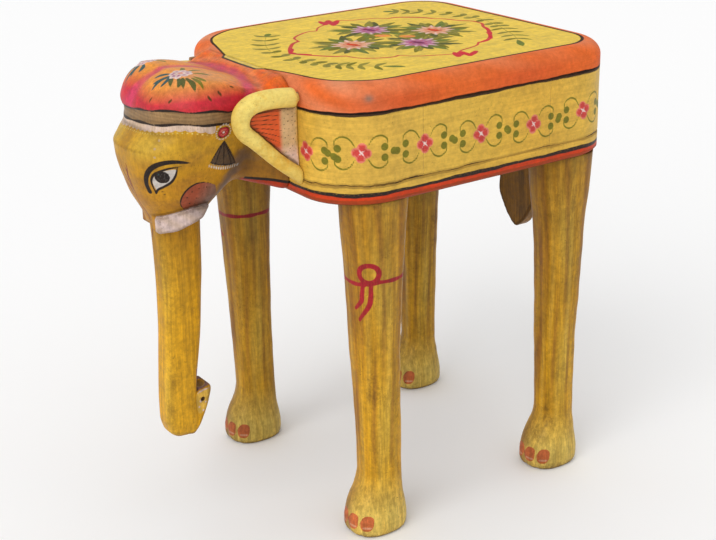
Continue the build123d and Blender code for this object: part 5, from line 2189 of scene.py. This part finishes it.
@dataclass
class Trunk:
    """The hanging trunk with its curled tip."""

    workshop: Workshop
    pitch: float = 1.2
    finish: PaintedFinish = PaintedFinish(
        "trunk_paint", GrainWay.UPRIGHT, streak_depth=0.38, edge_wear=0.7, patch_wear=0.4, rub_share=0.42,
        fleck_amount=0.9, mottle=0.24, relief_mm=0.3,
    )
    front: Run = Run(
        ((108, -201), (110, -205), (117, -209.5), (127, -211.5), (140, -211.4), (181.5, -209),
         (221, -206.3), (265, -205.3), (304, -206), (330, -207.5))
    )
    back: Run = Run(
        ((108, -187), (111, -182), (126, -179.5), (150, -179), (166, -177.6), (187, -174.2),
         (212, -170.5), (250, -167), (271, -165), (312, -163.5), (330, -162.5))
    )
    half_width: Run = Run(((108, 10), (111, 12.5), (118, 14.4), (128, 15.2), (330, 15.5)))
    foot_level: float = 108.0
    nostril: tuple[float, float] = (-175.5, 142.5)
    curl_outline: tuple[tuple[float, float], ...] = (
        (-190, 149), (-182, 151), (-174, 153.6), (-168.6, 155.6), (-166.2, 154), (-165.7, 149.7),
        (-168.4, 140), (-171.6, 131.4), (-175.4, 123.4), (-178.7, 117), (-182.6, 112), (-186.8, 109),
        (-192, 110.5), (-196, 114), (-196, 145),
    )

    def shape(self, points: Points) -> np.ndarray:
        """The trunk and its curl, which ends in an open tip that looks up and back."""
        x, y, z = points.T
        front, back = self.front.at(z), self.back.at(z)
        middle = (front + back) / 2
        shaft = oval(x, y - middle, self.half_width.at(z), (back - front) / 2, 3.2)
        shaft = blend_cut(shaft, self.foot_level - z, 7.0)
        shaft = np.maximum(shaft, z - 331.0)
        outline = outline_distance(points[:, 1:], smooth_path(self.curl_outline, 4, closed=True))
        curl = blend_cut(outline, np.abs(x) - 12.8, 3.5)
        pit = np.sqrt((x / 1.7) ** 2 + (y + 172.6) ** 2 + (z - 157.5 - 0.27 * (y + 172.6)) ** 2) - 6.0
        curl = blend_cut(curl, -pit, 1.2)
        both = blend_join(shaft, curl, 1.5)
        hole_y, hole_z = self.nostril
        nostril = np.sqrt((np.abs(x) - 12.4) ** 2 + (y - hole_y) ** 2 + (z - hole_z) ** 2) - 2.1
        return np.maximum(both, -nostril)

    def paint(self, painted: PaintedShell) -> None:
        """Paints the shaft's painted highlight and shade, the rubbed tip, its pale chips and the red line
        that runs down from the brow.
        """
        points = painted.shell.points
        x, y, z = points.T
        fill, mark, line = painted.fill, painted.mark, painted.line
        # Painted highlight down one edge of the front, and painted shade down the other edge.
        painted_highlight = hump(x - 9.0, 5.0) * (0.7 + 0.3 * np.sin(z / 19.0))
        painted.tone(0.35 * painted_highlight * (y < -185), Pigment.LEMON)
        painted.tone(0.25 * hump(x + 10.0, 4.0) * (y < -190), Pigment.AMBER)
        # Painted shade: darker and browner towards the top, under the head, and a little lighter low down.
        painted.shade *= 1.08 - 0.30 * part_of(z - 220.0, 90.0)
        painted.tone(0.3 * part_of(z - 240.0, 80.0), Pigment.AMBER)
        painted.tone(0.7 * part_of(113.0 - z, 4.0), Pigment.UMBER)
        top_face = np.maximum(151.6 + 0.3 * (y + 179.0) - z, -181.0 - y)
        fill.cover(np.maximum(top_face, z - 175.0), Pigment.LILAC_BROWN)
        flat = points[:, 1:]
        side = np.abs(x) > 8.0
        facet = [(-182, 149), (-167.5, 152), (-167.5, 147), (-172.5, 133), (-181, 129)]
        mark.patch(flat, smooth_path(facet, 3, closed=True), Pigment.OCHRE, side)
        rim = smooth_path([(-181, 149.6), (-174, 151.6), (-167.2, 152.6)], 4)
        line.stroke(flat, rim, 1.3, Pigment.PALE_PINK, (0.6, 0.6), side)
        for place, level, size in ((-178, 141, 1.4), (-173, 139, 1.0), (-180, 135.5, 1.1), (-176, 131, 1.1)):
            line.dot(flat, (place, level), size, Pigment.PALE_PINK, side)
        line.dot(flat, self.nostril, 2.2, Pigment.DARK_UMBER, side)
        streak = smooth_path([(0.5, 331), (-1, 316), (-4, 308), (-6, 302)], 5)
        mark.stroke(points[:, (0, 2)], streak, 1.6, Pigment.STREAK_RED, (0.9, 0.3), y < -190)

    def build(self) -> None:
        """Carves, paints and places the trunk."""
        box = Span.of("trunk")
        low, high = box.low - (1.5, 4.0, 0.0), (box.high[0] + 1.5, box.high[1] + 4.0, 332.0)
        shell = carve(self.shape, low, high, self.pitch)
        painted = PaintedShell(shell, Pigment.MUSTARD)
        self.paint(painted)
        self.workshop.piece("trunk_painted", painted, self.finish, ["trunk"], "painted_limbs")


@dataclass
class Ears:
    """The two ears: a fan-painted web inside a rolled rim."""

    workshop: Workshop
    seat: BoxSeat
    pitch: float = 1.15
    rim_x: float = 88.0
    right_ear_height: float = 0.91
    rim_radius: Run = Run(((355, 6.6), (380, 6.2), (400, 6.6), (418, 7.4), (430, 8.3), (440, 8.5)))
    fan: tuple[tuple[tuple[float, float], tuple[float, float]], ...] = (
        ((-146.5, 429), (-123, 430)), ((-149.5, 427), (-122.5, 426)), ((-151.5, 424.5), (-122, 422)),
        ((-152.5, 421.5), (-122, 418)), ((-152.2, 418.5), (-122, 413.5)), ((-151, 415.5), (-122, 408.5)),
        ((-149.5, 412.5), (-122.5, 403)), ((-146.5, 409.5), (-123, 397.5)),
        ((-143, 406), (-124.5, 392.5)),
    )
    finish: PaintedFinish = PaintedFinish(
        "ear_paint", GrainWay.LENGTHWISE, rubbed_to=Pigment.MUSTARD, streak_depth=0.12, edge_wear=0.4,
        patch_wear=0.5, rub_share=0.5, fleck_amount=0.7, mottle=0.14, line_dryness=0.1,
    )

    def rim(self) -> Points:
        """The rim's centre line in the plane of the ear, from its blunt top end."""
        corners = [
            (-109.5, 435.3), (-124, 437), (-138.8, 437.4), (-150.8, 435.6), (-158.5, 430.7),
            (-161.6, 424.5), (-161.4, 417.5), (-157.5, 411), (-149.9, 404.4), (-139.8, 394.7),
            (-129.5, 384.8), (-118.9, 376), (-108.8, 368.3), (-100, 361.5), (-92, 356.5),
        ]
        return smooth_path(corners, 6)

    def outline(self) -> Points:
        """The closed outline along the middle of the rim."""
        return np.vstack([self.rim(), [(-92.0, 435.3)]])

    def shape(self, points: Points) -> np.ndarray:
        """One ear, on the elephant's left: the rim's blunt upper end stops short of the box."""
        x, y, z = points.T
        rim = self.rim()
        tube = np.hypot(path_distance(points[:, 1:], rim, np.zeros(len(rim))), x - self.rim_x)
        tube = tube - self.rim_radius.at(z)
        tube = blend_cut(tube, np.where(z > 410.0, y + 109.5, -20.0), 3.0)
        core = np.maximum(np.hypot(x - self.rim_x, z - 435.0) - 4.2, -y - 125.0)
        inside = outline_distance(points[:, 1:], self.outline())
        web = np.maximum(np.abs(x - (self.rim_x - 3.5)) - 3.5 + 0.8 * part_of(-inside, 18.0), inside)
        ear = blend_join(np.minimum(tube, core), web, 1.6)
        return np.maximum(ear, y - self.seat.plan.front_y + 0.1)

    def build(self) -> None:
        """Makes both ears."""
        box = Span.of("left_ear")
        shell = carve(self.shape, box.low - 1, box.high + 1, self.pitch)
        for node, side in (("left_ear", 1), ("right_ear", -1)):
            points = shell.points * (side, 1, 1)
            if side < 0:
                points[:, 2] = box.low[2] + self.right_ear_height * (points[:, 2] - box.low[2])
            quads = shell.quads if side > 0 else shell.quads[:, ::-1]
            painted = PaintedShell(Shell(points, quads), Pigment.STRAW)
            self.paint(painted)
            self.workshop.piece(f"{node}_painted", painted, self.finish, [node], "painted_ears")

    def paint(self, painted: PaintedShell) -> None:
        """Paints the fan inside the rim, and painted shade on the faces that turn to the front and down."""
        points = painted.shell.points
        chart = points[:, 1:].copy()
        if points[:, 0].mean() < 0:
            foot = points[:, 2].min()
            chart[:, 1] = foot + (chart[:, 1] - foot) / self.right_ear_height
        across = np.abs(points[:, 0])
        web = (across < self.rim_x + 3.0) & (across > self.rim_x - 3.0)
        fill, line = painted.fill, painted.line
        inside = outline_distance(chart, self.outline()) + 1.05 * self.rim_radius.at(chart[:, 1])
        behind = part_of(chart[:, 0] + 125.0, 4.0)[:, None]
        wall_side = part_of(chart[:, 0] + 110.0, 6.0)[:, None]
        colour = mixture(Pigment.FAN_RED, Pigment.BEIGE, behind)
        colour = mixture(colour, Pigment.OCHRE, wall_side)
        low = np.clip((396.0 - chart[:, 1]) / 14.0, 0, 0.8)[:, None]
        colour = mixture(colour, Pigment.PALE_PINK, low)
        fill.cover(inside, colour, web)
        edge = np.maximum(np.abs(inside + 0.2) - 0.5, chart[:, 0] + 118.0)
        line.cover(edge, Pigment.UMBER, web)
        for start, end in self.fan:
            bow = np.add(start, end) / 2 + (0.0, 0.5)
            line.stroke(chart, smooth_path([start, bow, end], 4), 1.0, Pigment.DARK_UMBER, (0.8, 0.5), web)
        for column, count in ((-119.5, 9), (-115.5, 10), (-111.5, 9), (-108.5, 7)):
            for row in range(count):
                level = 425.0 - 5.0 * row - 1.7 * math.sin(column + row)
                line.dot(chart, (column + 0.8 * math.sin(3.0 * row), level), 0.65, Pigment.DARK_UMBER, web)
        normal = painted.shell.normals()
        # Painted shade: more ochre on faces that turn to the front and down.
        painted.tone(0.55 * np.clip(-0.9 * normal[:, 1] - 0.5 * normal[:, 2], 0, 1), Pigment.OCHRE)
        painted.tone(0.35 * part_of(404.0 - chart[:, 1], 40.0), Pigment.OCHRE)
        # Painted shade on the faces that turn to the front.
        painted.shade *= 1 - 0.10 * np.clip(-normal[:, 1], 0, 1)
        inner = part_of(self.rim_x + 4.0 - across, 8.0)
        painted.tone(0.5 * inner * (0.5 + 0.5 * np.sin(chart[:, 0] / 2.7) ** 2), Pigment.MUSTARD)


@dataclass
class Tail:
    """The carved tail that hangs down the rear of the box."""

    workshop: Workshop
    pitch: float = 1.4
    half_width: Run = Run(
        ((226, 1), (232, 9), (246, 20), (262, 27.5), (290, 25.5), (346, 19.5), (428, 18))
    )
    finish: PaintedFinish = PaintedFinish(
        "tail_paint", GrainWay.UPRIGHT, streak_depth=0.6, edge_wear=0.9, patch_wear=0.6, rub_share=0.6,
        fleck_amount=0.9, mottle=0.25, relief_mm=0.35,
    )

    def shape(self, points: Points) -> np.ndarray:
        """The tail: a leaf with a ridge down its middle."""
        box = Span.of("tail")
        x, y, z = points.T
        half = np.maximum(self.half_width.at(z), 0.5)
        sides = (np.abs(x) - half) * 0.85
        ridge = box.high[1] - 0.4 - 7.0 * (np.abs(x) / 28.0) ** 1.1
        body = blend_cut(sides, y - ridge, 3.0)
        body = blend_cut(body, box.low[1] + 0.1 - y, 1.0)
        body = blend_cut(body, z - box.high[2] + 0.3, 3.0)
        return np.maximum(body, box.low[2] - z)

    def build(self) -> None:
        """Carves the tail, paints it with painted shade, and places it."""
        box = Span.of("tail")
        shell = carve(self.shape, box.low, box.high, self.pitch)
        painted = PaintedShell(shell, Pigment.MUSTARD)
        # Painted shade: the tail hangs in shade under the box, so its paint is browned and darkened.
        painted.tone(np.full(len(shell.points), 0.55), Pigment.WOOD_BROWN)
        painted.shade *= 0.55
        self.workshop.piece("tail_painted", painted, self.finish, ["tail"], "painted_limbs")


@dataclass
class Fastenings:
    """The dowels, wedges, peg and nails that hold the stool together."""

    workshop: Workshop
    wood: PlainFinish = PlainFinish("mango_wood", (178, 138, 92), (112, 76, 44), 0.0, 0.55)
    iron: PlainFinish = PlainFinish("dull_iron", (92, 84, 78), (58, 42, 34), 0.85, 0.5)

    def build(self) -> None:
        """Gives the fastenings their materials."""
        wooden = ["leg_wedges", "trunk_peg", "neck_dowels", "ear_dowels", "seat_dowels"]
        self.workshop.dress(wooden, self.wood)
        self.workshop.dress(["base_nails", "tail_nails"], self.iron)


# ---- studio ---------------------------------------------------------------------------


@dataclass(frozen=True)
class SoftLamp:
    """A large, distant lamp with soft shadows."""

    name: str
    place: tuple[float, float, float]
    strength: float
    spread: float


@dataclass
class Studio:
    """The pale floor, the soft light and the camera."""

    focal_length: float = 71.345
    sensor: float = 36.0
    camera_place: tuple[float, float, float] = (1084.4, -716.1, 719.9)
    azimuth: float = 56.18
    elevation: float = 21.36
    roll: float = -1.35
    sky: float = 0.70
    floor_half: float = 8.0
    lamps: tuple[SoftLamp, ...] = (
        SoftLamp("key_light", (0.9, -1.9, 1.9), 1.25, 50.0),
        SoftLamp("top_light", (-0.4, 0.3, 2.0), 0.25, 60.0),
    )

    def build(self) -> None:
        """Sets up the whole studio."""
        self.build_camera()
        self.build_floor()
        self.build_light()

    def build_camera(self) -> None:
        """Places the camera."""
        azimuth, elevation = math.radians(self.azimuth), math.radians(self.elevation)
        roll = math.radians(self.roll)
        level = math.cos(elevation)
        back = Vector((math.sin(azimuth) * level, -math.cos(azimuth) * level, math.sin(elevation)))
        right = (-back).cross(Vector((0, 0, 1))).normalized()
        up = right.cross(-back)
        rolled_right = right * math.cos(roll) + up * math.sin(roll)
        rolled_up = up * math.cos(roll) - right * math.sin(roll)
        turn = Matrix((rolled_right, rolled_up, back)).transposed().to_4x4()
        camera = bpy.data.cameras.new("view")
        camera.lens, camera.sensor_width = self.focal_length, self.sensor
        camera.sensor_fit = "HORIZONTAL"
        camera.clip_start, camera.clip_end = 0.05, 50.0
        holder = bpy.data.objects.new("view", camera)
        holder.matrix_world = Matrix.Translation(Vector(self.camera_place) * MM) @ turn
        bpy.context.scene.collection.objects.link(holder)
        bpy.context.scene.camera = holder

    def build_floor(self) -> None:
        """Lays the white floor, which shows the stool's shadow."""
        mesh = bpy.data.meshes.new("floor")
        half = self.floor_half
        corners = [(-half, -half, 0), (half, -half, 0), (half, half, 0), (-half, half, 0)]
        mesh.from_pydata(corners, [], [(0, 1, 2, 3)])
        floor = bpy.data.objects.new("floor", mesh)
        bpy.context.scene.collection.objects.link(floor)
        material = bpy.data.materials.new("white_floor")
        material.use_nodes = True
        shader = material.node_tree.nodes["Principled BSDF"]
        shader.inputs["Base Color"].default_value = (0.96, 0.96, 0.96, 1)
        shader.inputs["Roughness"].default_value = 0.9
        shader.inputs["Specular IOR Level"].default_value = 0.1
        mesh.materials.append(material)

    def build_light(self) -> None:
        """Hangs the lamps and lights the sky, which the camera sees as white."""
        scene = bpy.context.scene
        scene.view_settings.view_transform = "Standard"
        world = bpy.data.worlds.new("sky")
        world.use_nodes = True
        scene.world = world
        graph = Graph(world.node_tree)
        backdrop = world.node_tree.nodes["Background"]
        seen = graph.add("ShaderNodeLightPath").outputs["Is Camera Ray"]
        strength = graph.maths("MULTIPLY_ADD", seen, 1.0 - self.sky, self.sky)
        backdrop.inputs["Color"].default_value = (1, 1, 1, 1)
        graph.feed(backdrop.inputs["Strength"], strength)
        target = Vector((0.0, 0.0, 0.25))
        for lamp in self.lamps:
            light = bpy.data.lights.new(lamp.name, "SUN")
            light.energy, light.angle = lamp.strength, math.radians(lamp.spread)
            holder = bpy.data.objects.new(lamp.name, light)
            holder.location = lamp.place
            holder.rotation_euler = (target - Vector(lamp.place)).to_track_quat("-Z", "Y").to_euler()
            scene.collection.objects.link(holder)


def main() -> None:
    """Builds the stool and its studio."""
    logging.basicConfig(level=logging.INFO, format="%(name)s: %(message)s")
    workshop = Workshop()
    seat = BoxSeat(workshop)
    seat.build()
    Legs(workshop).build()
    Head(workshop, seat).build()
    Trunk(workshop).build()
    Ears(workshop, seat).build()
    Tail(workshop).build()
    Fastenings(workshop).build()
    Studio().build()


if __name__ == "__main__":
    main()
